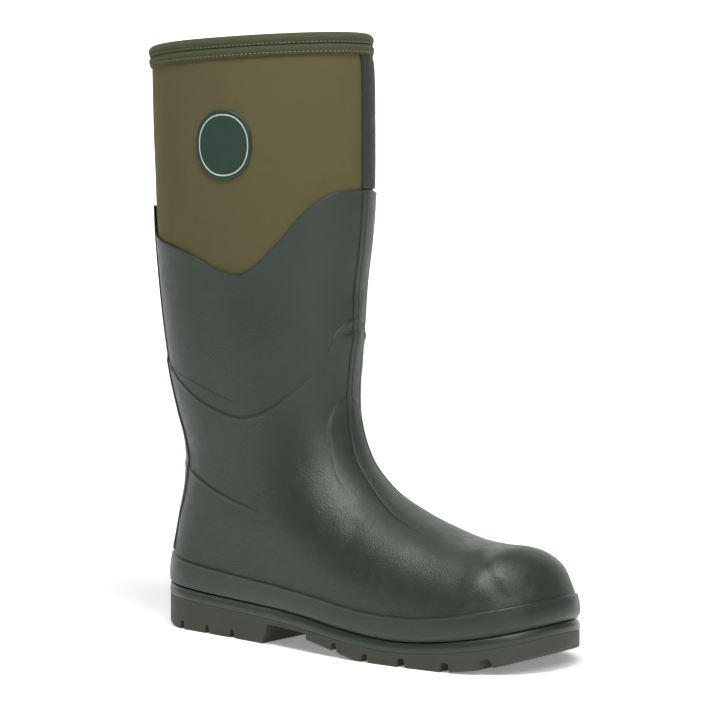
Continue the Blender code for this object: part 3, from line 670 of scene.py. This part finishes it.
# lines moulded in the rubber: (folded q, z) on both sides
LINE_A = [(0, 190), (2.3, 184), (3.5, 172.6), (4.5, 161.5), (5.5, 153.3), (6.62, 149.3), (7.25, 150.6),
          (8.0, 155.3), (8.69, 163.7), (9.69, 176.4), (10.38, 188.4), (10.75, 203), (11.2, 210), (12.0, 215.6)]
LINE_B = [(0, 196), (2.56, 181.2), (3.4, 176.6), (4.25, 173), (5.62, 163.7), (6.4, 159.5), (7.2, 160), (12, 196)]
COUNTER = [(0, 118), (2.44, 113.5), (3.4, 109.8), (4.19, 105.2), (5.31, 95.7), (5.81, 91.7), (7, 84), (12, 60)]
RIDGE_Q = [(4.0, 9.95), (5.0, 10.3), (6.18, 10.62), (6.78, 10.81), (8.08, 11.0), (9.03, 11.44), (9.53, 11.62),
           (10.12, 11.75), (10.73, 11.92), (12.0, 11.9), (13.4, 11.84), (14.35, 11.76), (16.4, 11.68), (19, 11.68)]
RIDGE_FAR = [(4.0, 14.0), (5.0, 13.75), (6.2, 13.45), (8.0, 13.2), (9.0, 13.15), (10.7, 13.2), (13.0, 13.3),
             (16.4, 13.45), (19, 13.45)]
STAY_Q = [(3.0, 2.3), (3.65, 2.25), (5.0, 1.9), (7.6, 1.8), (9.33, 2.5), (10.93, 3.0), (11.33, 3.2), (12.2, 2.7),
          (13.0, 2.35), (14.0, 2.15), (15.4, 2.0), (19, 2.0)]


def shell_outer(P, Q, S):
    x, y, z = P[..., 0], P[..., 1], P[..., 2]
    m = fold(Q)
    d = lift(z)
    # edge of the second rubber layer: thicker below the line
    za, zb = table(LINE_A, m), table(LINE_B, m)
    d = d + 0.55 * smooth(1.1, -0.5, z - za)
    d = d + 0.30 * smooth(0.9, -0.4, z - zb) * (1 - smooth(5.6, 7.4, m))
    d = d + (0.26 + 0.34 * smooth(9.4, 10.4, m)) * np.exp(-((z - za + 1.0) / 1.0) ** 2)
    # front arc of the same layer, and the band's lower end
    front = smooth(10.9, 11.6, m)
    arc = 206.5 - 5.0 * (12 - m)
    d = d + front * (0.5 * smooth(1.0, -0.4, z - arc) * smooth(170, 200, z) + 0.5 * smooth(230, 224, z) * smooth(190, 200, z))
    # instep panel, raised inside its edge
    edge = lin([(85, 10.0), (111, 10.31), (129, 10.62), (146, 10.78), (153.7, 11.06), (159.6, 11.31), (165, 12.06), (172, 13)], z)
    inside = smooth(-0.10, 0.08, m - edge) * smooth(96, 112, z) * (z < 171)
    top_line = z + 5.0 * (12 - m)
    d = d + 0.75 * inside * smooth(170.5, 167.5, top_line)
    d = d + 0.42 * inside * np.exp(-((top_line - 167.6) / 1.1) ** 2)
    # top of the heel counter
    zc = table(COUNTER, m)
    d = d + (0.45 * smooth(1.6, -1.2, z - zc) + 0.35 * np.exp(-((z - zc + 0.8) / 1.3) ** 2)) * (1 - smooth(5.4, 6.6, m)) * smooth(62, 84, z)
    # crease behind the toe cap, deeper on the sides
    xc = lin([(48, 293), (55, 288), (64, 279), (72, 267), (76, 258), (80, 252)], z)
    toe = smooth(40, 52, z) * (x > 225)
    across = (x - xc)
    d = d + toe * (-0.95 * np.exp(-(across / 4.2) ** 2) + 0.20 * np.exp(-((across - 11) / 7.0) ** 2)
                   + 0.15 * np.exp(-((across + 12) / 8.0) ** 2)) * smooth(8, 27, np.abs(y - table(CENTRE_LINE, x)))
    # soft folds at the ball and beside the instep
    fold1 = (x - (207 - 0.30 * z - 0.0 * y))
    d = d - 0.55 * np.exp(-(fold1 / 6.0) ** 2) * smooth(50, 62, z) * smooth(96, 84, z) * smooth(8.2, 9.0, 18 - m)
    d = d + 0.45 * np.exp(-((x - 150 + 0.5 * (z - 90)) / 9.0) ** 2) * smooth(60, 80, z) * smooth(125, 100, z) * smooth(10.5, 9.0, m)
    d = d + 0.30 * noise_grid(P, 46.0, 11, 2) + 0.10 * noise_grid(P, 13.0, 21, 2)
    return d


NC = 480
qc = np.arange(NC) * 24.0 / NC
print("building the upper")
lip0 = s_lip(qc, 0.6)
lip6 = s_lip(qc, 5.8)
edge = s_edge(qc)
shell, _ = sleeve("rubber_shell", qc, lip0, edge, 300, shell_outer, lambda P, Q, S: rub_in(P[..., 2]) + lift(P[..., 2]),
                  M_RUBBER, 0.4, 0.55, 60)
bends(shell, "foot_rubber_shell", "shaft_rubber_shell", slot="rubber_green")


# neoprene bootie and sleeve
def deeper(P):
    x, z = P[..., 0], P[..., 2]
    return 2.2 * smooth(212, 224, x) + 1.6 * (1 - smooth(84, 92, z)) * (1 - smooth(70, 86, x))


def neo_out(P, Q, S):
    z = P[..., 2]
    d = rub_in(z) + lift(z) - 0.3 - deeper(P)
    k = smooth(285, 320, z)
    # held in by the binding above, and by the rubber's edge below
    d = d - 0.7 * smooth(383, 389.5, z)
    ze = table(EDGE_Z, fold(Q))
    d = d - 0.35 * np.exp(-np.clip(z - ze, 0, 99) / 2.2) * smooth(ze - 2, ze, z)
    return d + k * 0.25 * noise_grid(P, 60.0, 31, 2) + 0.10 * k * noise_grid(P, 17.0, 41, 2)


def neo_in(P, Q, S):
    z = P[..., 2]
    dd = deeper(P)
    return rub_in(z) + lift(z) - 0.3 - 4.5 - (dd - np.minimum(dd, 1.6))


q2 = np.arange(288) * 24.0 / 288
lip6b, top_in = s_lip(q2, 5.8), s_down(q2, 3.6)
neo, _ = sleeve("neoprene_sleeve", q2, lip6b, top_in, 220, neo_out, neo_in, M_NEO, 0.5, 0.3, 60)
bends(neo, "foot_neoprene", "shaft_neoprene", slot="neoprene_olive")
lining, _ = sleeve("knit_lining", q2, lip6b, top_in, 90, lambda P, Q, S: neo_in(P, Q, S) - 0.3,
                   lambda P, Q, S: neo_in(P, Q, S) - 1.3 + 0.15 * noise_grid(P, 25.0, 51, 2), M_LINING, 0.2, 0.2, 160)
bends(lining, "foot_lining", "shaft_lining", slot="knit_lining")


# ribs, stay and tape
def over_shell(extra):
    return lambda P, Q, S: shell_outer(P, Q, S) + extra


rib = strip("front_rib", lambda s: lin(RIDGE_Q, s), lambda s: lin(RIDGE_FAR, s), 5.6,
            float(s_edge([12.0], -1.0)[0]), 330, 26,
            lambda P, Q, S: shell_outer(P, Q, S) - 0.15 + 1.15 * smooth(72, 98, P[..., 2])
            - 0.6 * np.exp(-((Q - lin(RIDGE_Q, S) - 0.24) / 0.055) ** 2) * smooth(84, 100, P[..., 2])
            - 0.5 * np.exp(-((Q - lin(RIDGE_FAR, S) + 0.24) / 0.055) ** 2) * smooth(84, 100, P[..., 2]),
            lambda P, Q, S: shell_outer(P, Q, S) - 0.6, M_RUBBER, 0.9)
bends(rib, "instep_rib", "shin_rib", slot="rubber_green")
stay = strip("back_stay", lambda s: -lin(STAY_Q, s), lambda s: lin(STAY_Q, s), float(s_rand([0.0], 0.6)[0]),
             float(s_edge([0.0], -1.5)[0]), 220, 40,
             lambda P, Q, S: shell_outer(P, Q, S) + 1.1 - 0.5 * smooth(240, 285, P[..., 2]), over_shell(-0.25), M_RUBBER, 0.7)
bends(stay, "back_stay_heel", "back_stay_shaft", slot="rubber_green")
tape = strip("front_tape", lambda s: lin(RIDGE_Q, s), lambda s: lin(RIDGE_FAR, s), float(s_edge([12.4], 0.8)[0]),
             float(s_down([12.4], 13.9)[0]), 90, 22,
             lambda P, Q, S: neo_out(P, Q, S) + 1.25 + 0.25 * np.cos((fold(Q) - 11.2) * 2.2),
             lambda P, Q, S: neo_out(P, Q, S) + 0.05, M_TAPE, 0.5)
rides(tape, "shaft", "front_seam_tape", slot="seam_tape")

# rand: a band round the foot, rolled in at its lower edge
print("building the sole")


def rand_outer(P, Q, S):
    x, z = P[..., 0], P[..., 2]
    a, b = z_lip(x), z_rand(x)
    t = np.clip((z - a) / (b - a), 0, 1)
    roll = (0.3 + 1.7 * smooth(110, 190, x)) * (1 - smooth(0.0, 0.34, t)) ** 1.6
    return 0.3 + 1.55 + 0.40 * np.sin(np.pi * np.clip(t, 0, 1)) - 0.9 * roll + 0.28 * np.exp(-((b - z - 0.9) / 0.9) ** 2) \
        + 0.10 * noise_grid(P, 40.0, 61, 2)


rand_, _ = sleeve("foxing_band", qc, s_lip(qc, 1.1), s_rand(qc), 34, rand_outer, lambda P, Q, S: 0.0 * P[..., 2] + 0.1,
                  M_RAND, 0.5, 0.8, 8)
rides(rand_, "foot", "foxing_rand", slot="rubber_green")

# kick spur at the heel
h = np.linspace(-1, 1, 41)
vv = np.linspace(-1, 1, 21)
VV, HH = np.meshgrid(vv, h, indexing="ij")
r0 = float(s_rand([0.0], 3.6)[0])
L0 = float(length_at(0.0, r0))
SS = s_of_length(0.0, L0 + 3.1 * VV)
QQ = HH * 0.92
dome = np.maximum(1 - np.abs(HH) ** 3.0, 0) ** 0.5 * np.maximum(1 - np.abs(VV) ** 2.6, 0) ** 0.5
spur = patch("kick_spur", QQ, SS, 1.4 + 4.8 * dome, 0.0 * dome + 0.8, M_RUBBER)
rides(spur, "foot", "heel_kick_spur", slot="rubber_green")

# sole outline: the foot's own section just above the lip, moved out by d
NB = 576
qb = np.arange(NB) * 24.0 / NB
low = s_lip(qb, 3.0)
PB, NBn = ev(qb, low)


def outline(d):
    return PB + NBn * d


def ring(name, profile, mat):
    """Closed ring: profile of (depth, z function of x)."""
    rows = []
    for d, zf in profile:
        if callable(d):
            d = d(PB[:, 0])[:, None]
        o = outline(d)
        rows.append(np.stack([o[:, 0], o[:, 1], zf(o[:, 0])], 1))
    V = np.array(rows)
    U = np.stack(np.broadcast_arrays(qb / 24 * 8.0, np.arange(len(profile))[:, None] * 0.03), -1)
    return make(name, V, torus_faces(len(profile), NB), mat, U)


def mix(f, g, t, off=0.0):
    return lambda x: f(x) * (1 - t) + g(x) * t + off


lip_profile = [(-4.0, mix(z_out, z_lip, 0, 0.35))]
lip_profile += [(1.60, mix(z_out, z_lip, 0, 0.12)), (1.68, mix(z_out, z_lip, 0, 0.25))]
for k in range(0, 17):
    t = 0.08 + 0.92 * k / 16
    b = math.cos(0.5 * math.pi * max(0.0, (t - 0.32) / 0.68) ** 1.5)
    lip_profile.append((lambda x, b=b, t=t: 1.65 + 0.30 * math.sin(math.pi * min(1, t / 0.7)) - (0.30 + 1.65 * smooth(110, 190, x))
                        * (1 - max(b, 0.0) ** 0.7), mix(z_out, z_lip, t)))
lip_profile += [(-1.2, mix(z_out, z_lip, 1.0, 0.10)), (-4.0, mix(z_out, z_lip, 1.0, 0.0))]
lip = ring("sole_bead", lip_profile, M_LIP)
rides(lip, "foot", "sole_lip", slot="rubber_dark")

# outsole: smooth slab, then the tread is cut
out_profile = [(0.9, lambda x: under(x)), (1.35, lambda x: under(x) + 0.12), (1.62, lambda x: under(x) + 0.45), (1.75, lambda x: under(x) + 1.1)]
for t in (0.2, 0.4, 0.6, 0.8, 0.94):
    out_profile.append((1.78 - 0.06 * t, lambda x, t=t: np.maximum(under(x) + 1.4, under(x) * (1 - t) + z_out(x) * t)))
out_profile += [(1.68, lambda x: z_out(x) - 0.10), (1.55, lambda x: z_out(x))]
rows = []
for d, zf in out_profile:
    o = outline(d)
    rows.append(np.stack([o[:, 0], o[:, 1], zf(o[:, 0])], 1))
rows = np.array(rows)
m_, n_ = rows.shape[:2]
F = []
for i in range(m_ - 1):
    for j in range(n_):
        j2 = (j + 1) % n_
        F.append((i * n_ + j, i * n_ + j2, (i + 1) * n_ + j2, (i + 1) * n_ + j))
for base, flip in ((0, True), ((m_ - 1) * n_, False)):
    for j in range(n_ // 2):
        quad = [base + j, base + j + 1, base + (n_ - j - 1) % n_, base + (n_ - j) % n_]
        quad = [v for k, v in enumerate(quad) if v not in quad[:k]]
        F.append(tuple(quad if flip else reversed(quad)))
sole = make("outsole_tread", rows, F, M_OUTSOLE)
import bmesh
bm = bmesh.new()
bm.from_mesh(sole.data)
bmesh.ops.recalc_face_normals(bm, faces=bm.faces[:])
bm.to_mesh(sole.data)
bm.free()


def prism(section, axis_from, axis_to, shear=0.0):
    """Closed prism: section of (x, z), from y to y; shear turns it in plan."""
    n = len(section)
    v = [(x + shear * y, y, z) for y in (axis_from, axis_to) for x, z in section]
    f = [tuple(range(n)), tuple(reversed(range(n, 2 * n)))]
    f += [(k, n + k, n + (k + 1) % n, (k + 1) % n) for k in range(n)]
    return v, f


def arch_section(x, w, hgt, base, rr=0.35):
    """Channel section: wide at the ground, rounded at the top."""
    top = base + hgt
    a, b = 0.5 * w, 0.5 * w - 0.16 * hgt
    pts = [(x - a - 0.2 * (base + 3), -3.0), (x + a + 0.2 * (base + 3), -3.0)]
    for k in range(7):
        ang = math.pi * k / 6
        pts.append((x + b * math.cos(ang) * 1.0, top - 0.9 + 0.9 * math.sin(ang)))
    return pts


cutters = []
CH = [(32, 4.8, 6.0), (56.5, 4.8, 6.0), (81, 4.8, 6.0), (177.8, 5.6, 5.6), (203.4, 6.0, 5.6),
      (231.5, 6.6, 5.8), (263.2, 7.2, 6.0), (287.6, 7.6, 6.2)]
for x, w, hh in CH:
    cutters.append(prism(arch_section(x, w, hh, float(under(np.array([x]))[0])), -90, 90))
# arch gap with rounded corners
arch = [(108.0, -3.0), (158.5, -3.0)]
for (cx, cz), (a0, a1) in (((150.6, 10.4), (-10, 95)), ((117.0, 11.6), (85, 190))):
    for k in range(7):
        ang = math.radians(a0 + (a1 - a0) * k / 6)
        arch.append((cx + 2.2 * math.cos(ang), cz + 2.2 * math.sin(ang)))
cutters.append(prism(arch, -90, 90))
# grooves along the tread, inside the blocks
for y0, ys, x0, x1, wid in ((-20, 0.02, 168, 298, 3.0), (20, 0.06, 168, 298, 3.0), (0, 0.04, 168, 305, 2.6),
                            (-13, 0.0, 20, 106, 2.6), (13, 0.0, 20, 106, 2.6)):
    v, f = [], []
    ns = 14
    for k in range(ns + 1):
        x = x0 + (x1 - x0) * k / ns
        yc = y0 + ys * (x - x0) + (float(table(CENTRE_LINE, np.array([x]))[0]) if x > 150 else 0.0)
        top = float(under(np.array([x]))[0]) + 3.4
        v += [(x, yc - wid / 2 - 0.4, -3.0), (x, yc + wid / 2 + 0.4, -3.0), (x, yc + wid / 2 - 0.3, top), (x, yc - wid / 2 + 0.3, top)]
    for k in range(ns):
        a = 4 * k
        for e in range(4):
            e2 = (e + 1) % 4
            f.append((a + e, a + 4 + e, a + 4 + e2, a + e2))
    f.append((0, 1, 2, 3))
    f.append((4 * ns + 3, 4 * ns + 2, 4 * ns + 1, 4 * ns))
    cutters.append((v, f))
for k, (v, f) in enumerate(cutters):
    c = make("cutter_%02d" % k, v, f, M_OUTSOLE)
    bm = bmesh.new()
    bm.from_mesh(c.data)
    bmesh.ops.recalc_face_normals(bm, faces=bm.faces[:])
    bm.to_mesh(c.data)
    bm.free()
    mod = sole.modifiers.new("cut", "BOOLEAN")
    mod.operation, mod.object, mod.solver = "DIFFERENCE", c, "EXACT"
    dg = bpy.context.evaluated_depsgraph_get()
    new = bpy.data.meshes.new_from_object(sole.evaluated_get(dg))
    sole.modifiers.clear()
    sole.data = new
    bpy.data.objects.remove(c)
bm = bmesh.new()
bm.from_mesh(sole.data)
bmesh.ops.remove_doubles(bm, verts=bm.verts[:], dist=2e-5)
sharp = [e for e in bm.edges if len(e.link_faces) == 2 and e.calc_face_angle(0) > math.radians(38)
         and min(v.co.z for v in e.verts) < 0.0145]
bmesh.ops.bevel(bm, geom=sharp, offset=0.0004, segments=2, profile=0.6, affect="EDGES", clamp_overlap=True)
bmesh.ops.recalc_face_normals(bm, faces=bm.faces[:])
bm.to_mesh(sole.data)
bm.free()
sole.data.shade_smooth()
sole.data.set_sharp_from_angle(angle=math.radians(40))
rides(sole, "foot", "outsole", slot="outsole_rubber")

# ------------------------------------------------------------------ collar
print("building the collar")
NR_ = 576
qr = np.arange(NR_) * 24.0 / NR_
outer0 = -1.2 + 1.0 - 0.3
inner0 = outer0 - 4.5 - 0.3 - 1.0


def hoop(name, profile, mat, wobble=0.0, seed=71):
    """Closed ring at the collar: profile of (depth, mm below the top)."""
    rows, uvs = [], []
    run = 0.0
    for k, (d, hgt) in enumerate(profile):
        s = s_down(qr, max(hgt, 0.0))
        P, N = ev(qr, s)
        if hgt < 0:
            P = P + np.array([0, 0, -hgt])
        w = wobble * noise_grid(P, 7.0, seed, 2)
        rows.append(P + N * (d + w)[:, None])
        if k:
            run += math.dist(profile[k - 1], profile[k])
        uvs.append(np.stack([qr / 24 * 4.4, np.full(NR_, run / 100)], 1))
    V = np.array(rows)
    return make(name, V, torus_faces(len(profile), NR_), mat, np.array(uvs))


def arc(cx, cy, rx, ry, a0, a1, n):
    return [(cx + rx * math.cos(math.radians(a0 + (a1 - a0) * k / n)), cy - ry * math.sin(math.radians(a0 + (a1 - a0) * k / n)))
            for k in range(n + 1)]


o, i_ = outer0 + 0.15, inner0 - 0.15
# first roll: up the outside, over the rim, and down inside
outside = [(o, 7.7), (o + 0.55, 7.35), (o + 0.95, 6.95), (o + 1.1, 6.5), (o + 1.35, 5.9), (o + 1.9, 5.0), (o + 2.05, 4.0), (o + 1.95, 3.0),
           (o + 1.6, 2.1), (o + 1.0, 1.3), (o + 0.2, 0.6), (o - 0.8, 0.12), (0.5 * (o + i_), -0.12), (i_ + 0.8, 0.12),
           (i_ - 0.2, 0.6), (i_ - 0.9, 1.4), (i_ - 1.3, 2.4), (i_ - 1.5, 4.0), (i_ - 1.4, 6.5), (i_ - 1.0, 8.6),
           (i_ - 0.4, 9.2), (i_, 9.0), (i_, 6.0), (i_, 3.2), (o, 3.2), (o, 5.5)]
roll = hoop("collar_top_roll", outside, M_BIND, 0.10)
rides(roll, "shaft", "collar_roll", slot="binding")
band = hoop("collar_lower_roll", [(o, 14.4), (o + 0.5, 14.35), (o + 0.9, 14.0), (o + 1.1, 13.4), (o + 1.0, 12.8), (o + 1.2, 12.3),
                                  (o + 1.65, 11.5), (o + 1.8, 10.6), (o + 1.7, 9.6), (o + 1.4, 8.7), (o + 1.0, 8.1), (o + 0.5, 7.85), (o, 7.9)],
            M_BIND, 0.10, 81)
rides(band, "shaft", "collar_band", slot="binding")


def stitches(name, depth, height, pitch, length, radius, mat):
    """A row of single stitches round the collar, each a small rounded bar."""
    perimeter = float(np.linalg.norm(np.diff(np.vstack([ev(qr, s_down(qr, height))[0], ev(qr[:1], s_down(qr[:1], height))[0]]), axis=0), axis=1).sum())
    count = int(perimeter / pitch)
    P, N = ev(qr, s_down(qr, height))
    P = P + N * depth
    cum = np.concatenate([[0], np.cumsum(np.linalg.norm(np.diff(np.vstack([P, P[:1]]), axis=0), axis=1))])
    X = np.vstack([P, P[:1]])
    NN = np.vstack([N, N[:1]])
    V, F = [], []
    nseg, nround = 7, 8
    for k in range(count):
        c = cum[-1] * (k + 0.5) / count
        base = len(V)
        for a in range(nseg):
            u = a / (nseg - 1)
            l = c + length * (u - 0.5)
            l = l % cum[-1]
            p = np.array([np.interp(l, cum, X[:, e]) for e in range(3)])
            nrm = np.array([np.interp(l, cum, NN[:, e]) for e in range(3)])
            tx = np.array([np.interp((l + 0.2) % cum[-1], cum, X[:, e]) for e in range(3)]) - p
            tx /= np.linalg.norm(tx) + 1e-9
            up = np.cross(tx, nrm)
            rr = radius * math.sqrt(max(0.04, 1 - (2 * u - 1) ** 4))
            sink = -0.45 * (2 * u - 1) ** 4
            for b in range(nround):
                ang = 2 * math.pi * b / nround
                V.append(p + nrm * (rr * math.cos(ang) + sink) + up * rr * math.sin(ang))
        for a in range(nseg - 1):
            for b in range(nround):
                b2 = (b + 1) % nround
                F.append((base + a * nround + b, base + a * nround + b2, base + (a + 1) * nround + b2, base + (a + 1) * nround + b))
        F.append(tuple(base + b for b in reversed(range(nround))))
        F.append(tuple(base + (nseg - 1) * nround + b for b in range(nround)))
    ob = make(name, V, F, mat)
    bm = bmesh.new()
    bm.from_mesh(ob.data)
    bmesh.ops.recalc_face_normals(bm, faces=bm.faces[:])
    bm.to_mesh(ob.data)
    bm.free()
    return ob


st1 = stitches("stitches_upper", o + 1.25, 6.55, 2.9, 2.0, 0.36, M_THREAD)
rides(st1, "shaft", "stitch_row_upper", slot="thread")
st2 = stitches("stitches_lower", o + 1.2, 12.75, 2.9, 2.0, 0.36, M_THREAD)
rides(st2, "shaft", "stitch_row_lower", slot="thread")

# ------------------------------------------------------------------ plain oval patch
PQ, PZ, PW, PH = 6.25, 329.5, 41.0, 46.0
reach = np.linspace(PQ - 3, PQ + 3, 121)
zs = np.array([first_cross([a], lambda P: P[:, 2] - PZ)[0] for a in reach])
walk, _ = ev(reach, zs)
run = np.concatenate([[0], np.cumsum(np.linalg.norm(np.diff(walk, axis=0), axis=1))])
run -= np.interp(PQ, reach, run)


def oval(name, scale0, scale1, rings_, outer_f, inner_d, mat):
    """Disc or ring on the leg, from scale0 to scale1 of the oval, as a closed solid."""
    nr, na = rings_, 128
    R = np.linspace(scale0, scale1, nr)
    A = np.arange(na) * 2 * np.pi / na
    uu = np.sign(np.cos(A)) * np.abs(np.cos(A)) ** 0.92 * PW / 2
    ww = np.sign(np.sin(A)) * np.abs(np.sin(A)) ** 0.92 * PH / 2
    D, H = R[:, None] * uu, R[:, None] * ww
    Q = np.interp(D, run, reach)
    S = np.empty_like(Q)
    for idx in np.ndindex(Q.shape):
        zc = PZ + H[idx]
        f = Q[idx] / 24 * NQ
        j0 = int(f) % NQ
        w = f - int(f)
        col = PM[400:, j0, 2] * (1 - w) + PM[400:, (j0 + 1) % NQ, 2] * w
        S[idx] = np.interp(zc, col, SM[400:])
    P, N = ev(Q, S)
    base = neo_out(P, Q, S)
    top = P + N * (base + outer_f(R)[:, None])[..., None]
    bot = P + N * (base + inner_d)[..., None]
    if scale0 > 0:
        V = np.concatenate([top, bot[::-1]], 0)
        return make(name, V, torus_faces(V.shape[0], na), mat)
    V = np.concatenate([top.reshape(-1, 3), bot.reshape(-1, 3), top[0].mean(0)[None], bot[0].mean(0)[None]])
    F = []
    for i in range(1, nr - 1):
        for j in range(na):
            j2 = (j + 1) % na
            F.append((i * na + j, i * na + j2, (i + 1) * na + j2, (i + 1) * na + j))
            F.append((nr * na + i * na + j, nr * na + (i + 1) * na + j, nr * na + (i + 1) * na + j2, nr * na + i * na + j2))
    ct, cb = 2 * nr * na, 2 * nr * na + 1
    for j in range(na):
        j2 = (j + 1) % na
        F.append((ct, na + j2, na + j))
        F.append((cb, nr * na + na + j, nr * na + na + j2))
        F.append(((nr - 1) * na + j, (nr - 1) * na + j2, nr * na + (nr - 1) * na + j2, nr * na + (nr - 1) * na + j))
    ob = make(name, V, F, mat)
    bm = bmesh.new()
    bm.from_mesh(ob.data)
    loose = [v for v in bm.verts if not v.link_faces]
    bmesh.ops.delete(bm, geom=loose, context="VERTS")
    bmesh.ops.recalc_face_normals(bm, faces=bm.faces[:])
    bm.to_mesh(ob.data)
    bm.free()
    return ob


badge = oval("plain_patch", 0.0, 1.0, 40, lambda R: 1.25 - drop((1 - R) * 21, 0.8) - 0.25 * smooth(0.80, 0.76, R), 0.05, M_PATCH)
rides(badge, "shaft", "badge_patch", slot="patch")
rim = oval("plain_patch_border", 0.845, 0.885, 9, lambda R: 1.24 + 0.30 * np.sqrt(np.maximum(0, 1 - ((R - 0.865) / 0.0205) ** 2)), 1.1, M_PATCH_RIM)
rides(rim, "shaft", slot="patch")

# ------------------------------------------------------------------ pieces kept from the CAD
for name, mat in {"steel_toe_cap": M_STEEL, "steel_midsole_plate": M_STEEL, "toe_cap_edge_bead": M_BLACK, "heel_counter": M_BOARD,
                  "insole_board": M_BOARD, "foam_midsole": M_FOAM, "footbed_foam": M_BLACK, "footbed_cover": M_CLOTH}.items():
    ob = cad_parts[name]
    ob.data.materials.clear()
    ob.data.materials.append(mat)

# ------------------------------------------------------------------ floor, light, camera
def stage_plane(name, corners, albedo, glow):
    me = bpy.data.meshes.new(name)
    me.from_pydata(corners, [], [(0, 1, 2, 3)])
    ob = bpy.data.objects.new(name, me)
    bpy.context.scene.collection.objects.link(ob)
    m, nt, b = material(name + "_white", (albedo, albedo, albedo), 0.8, spec=0.05)
    b.inputs["Emission Color"].default_value = (1, 1, 1, 1)
    b.inputs["Emission Strength"].default_value = glow
    me.materials.append(m)
    return ob


# the floor: plain near the boot, and a little lit of itself far off, so that it stays evenly pale
def floor_ring(name, r0, r1, z, albedo, glow):
    a = np.linspace(0, 2 * math.pi, 65)[:-1]
    v = [(r * math.cos(t), r * math.sin(t), z) for r in (r0, r1) for t in a]
    f = [(k, 64 + k, 64 + (k + 1) % 64, (k + 1) % 64) for k in range(64)] if r0 > 0 else [tuple(range(64, 128))]
    me = bpy.data.meshes.new(name)
    me.from_pydata(v, [], f)
    ob = bpy.data.objects.new(name, me)
    bpy.context.scene.collection.objects.link(ob)
    m, nt, b = material(name + "_white", (albedo, albedo, albedo), 0.8, spec=0.05)
    b.inputs["Emission Color"].default_value = (1, 1, 1, 1)
    b.inputs["Emission Strength"].default_value = glow
    me.materials.append(m)


for k, (r0, r1, glow) in enumerate([(0.0, 0.45, 0.24), (0.45, 0.8, 0.42), (0.8, 1.3, 0.56), (1.3, 11.0, 0.74)]):
    floor_ring("floor_%d" % k, r0, r1, 0.0, 0.92 if k < 3 else 0.8, glow)
# plain white sheet well behind the boot
stage_plane("backdrop", [(-8.6, 0.4, -0.01), (1.2, 8.6, -0.01), (1.2, 8.6, 5.0), (-8.6, 0.4, 5.0)], 0.8, 1.0)

# white sky sheet that only closes the view from other sides, and lights nothing
dome_v, dome_f = [], []
for i in range(9):
    e = math.radians(-2 + 92 * i / 8)
    for k in range(48):
        a = 2 * math.pi * k / 48
        dome_v.append((12.5 * math.cos(e) * math.cos(a), 12.5 * math.cos(e) * math.sin(a), 12.5 * math.sin(e)))
for i in range(8):
    for k in range(48):
        dome_f.append((i * 48 + k, i * 48 + (k + 1) % 48, (i + 1) * 48 + (k + 1) % 48, (i + 1) * 48 + k))
dome_me = bpy.data.meshes.new("sky_sheet")
dome_me.from_pydata(dome_v, [], dome_f)
dome = bpy.data.objects.new("sky_sheet", dome_me)
bpy.context.scene.collection.objects.link(dome)
dome_m, dome_nt, dome_b = material("sky_sheet_white", (0.8, 0.8, 0.8), 0.9, spec=0.0)
dome_b.inputs["Emission Color"].default_value = (1, 1, 1, 1)
dome_b.inputs["Emission Strength"].default_value = 1.0
dome_me.materials.append(dome_m)
dome.visible_diffuse = dome.visible_glossy = dome.visible_shadow = dome.visible_transmission = False

world = bpy.data.worlds.new("studio")
bpy.context.scene.world = world
world.use_nodes = True
bg = world.node_tree.nodes["Background"]
bg.inputs["Color"].default_value = (1.0, 1.0, 1.0, 1)
bg.inputs["Strength"].default_value = 0.10


def area(name, loc, target, size, power, colour=(1, 1, 1)):
    d = bpy.data.lights.new(name, "AREA")
    d.shape = "RECTANGLE"
    d.size, d.size_y = size
    d.energy = power
    d.color = colour
    ob = bpy.data.objects.new(name, d)
    bpy.context.scene.collection.objects.link(ob)
    from mathutils import Vector
    ob.location = loc
    ob.rotation_mode = "QUATERNION"
    ob.rotation_quaternion = (Vector(target) - Vector(loc)).to_track_quat("-Z", "Y")
    return ob


area("top", (0.22, -0.42, 1.7), (0.05, 0.0, 0.1), (0.9, 0.7), 24)
area("front", (1.05, -0.38, 1.3), (0.08, 0.0, 0.08), (0.6, 0.6), 8)
area("key", (1.5, -0.8, 0.9), (0.05, 0, 0.2), (0.6, 0.9), 3.5)
area("fill", (-0.9, -1.6, 0.9), (0, 0, 0.2), (1.2, 1.2), 0.8)
area("back", (-1.3, 0.9, 0.9), (0, 0, 0.25), (0.9, 1.2), 4)

az, el, dist = math.radians(40.0), math.radians(3.84), 1.5985
back = np.array([math.sin(az) * math.cos(el), -math.cos(az) * math.cos(el), math.sin(el)])
target = (np.array([152.46, 0.0, 191.3]) - ORIGIN) * MM
cam_d = bpy.data.cameras.new("camera")
cam_d.sensor_width = 36.0
cam_d.lens = 2418.25 * 36.0 / 711.0
cam = bpy.data.objects.new("camera", cam_d)
bpy.context.scene.collection.objects.link(cam)
from mathutils import Vector
cam.location = Vector(target + back * dist)
cam.rotation_mode = "QUATERNION"
cam.rotation_quaternion = Vector(-back).to_track_quat("-Z", "Y")
bpy.context.scene.camera = cam

bpy.context.scene.view_settings.view_transform = "Standard"
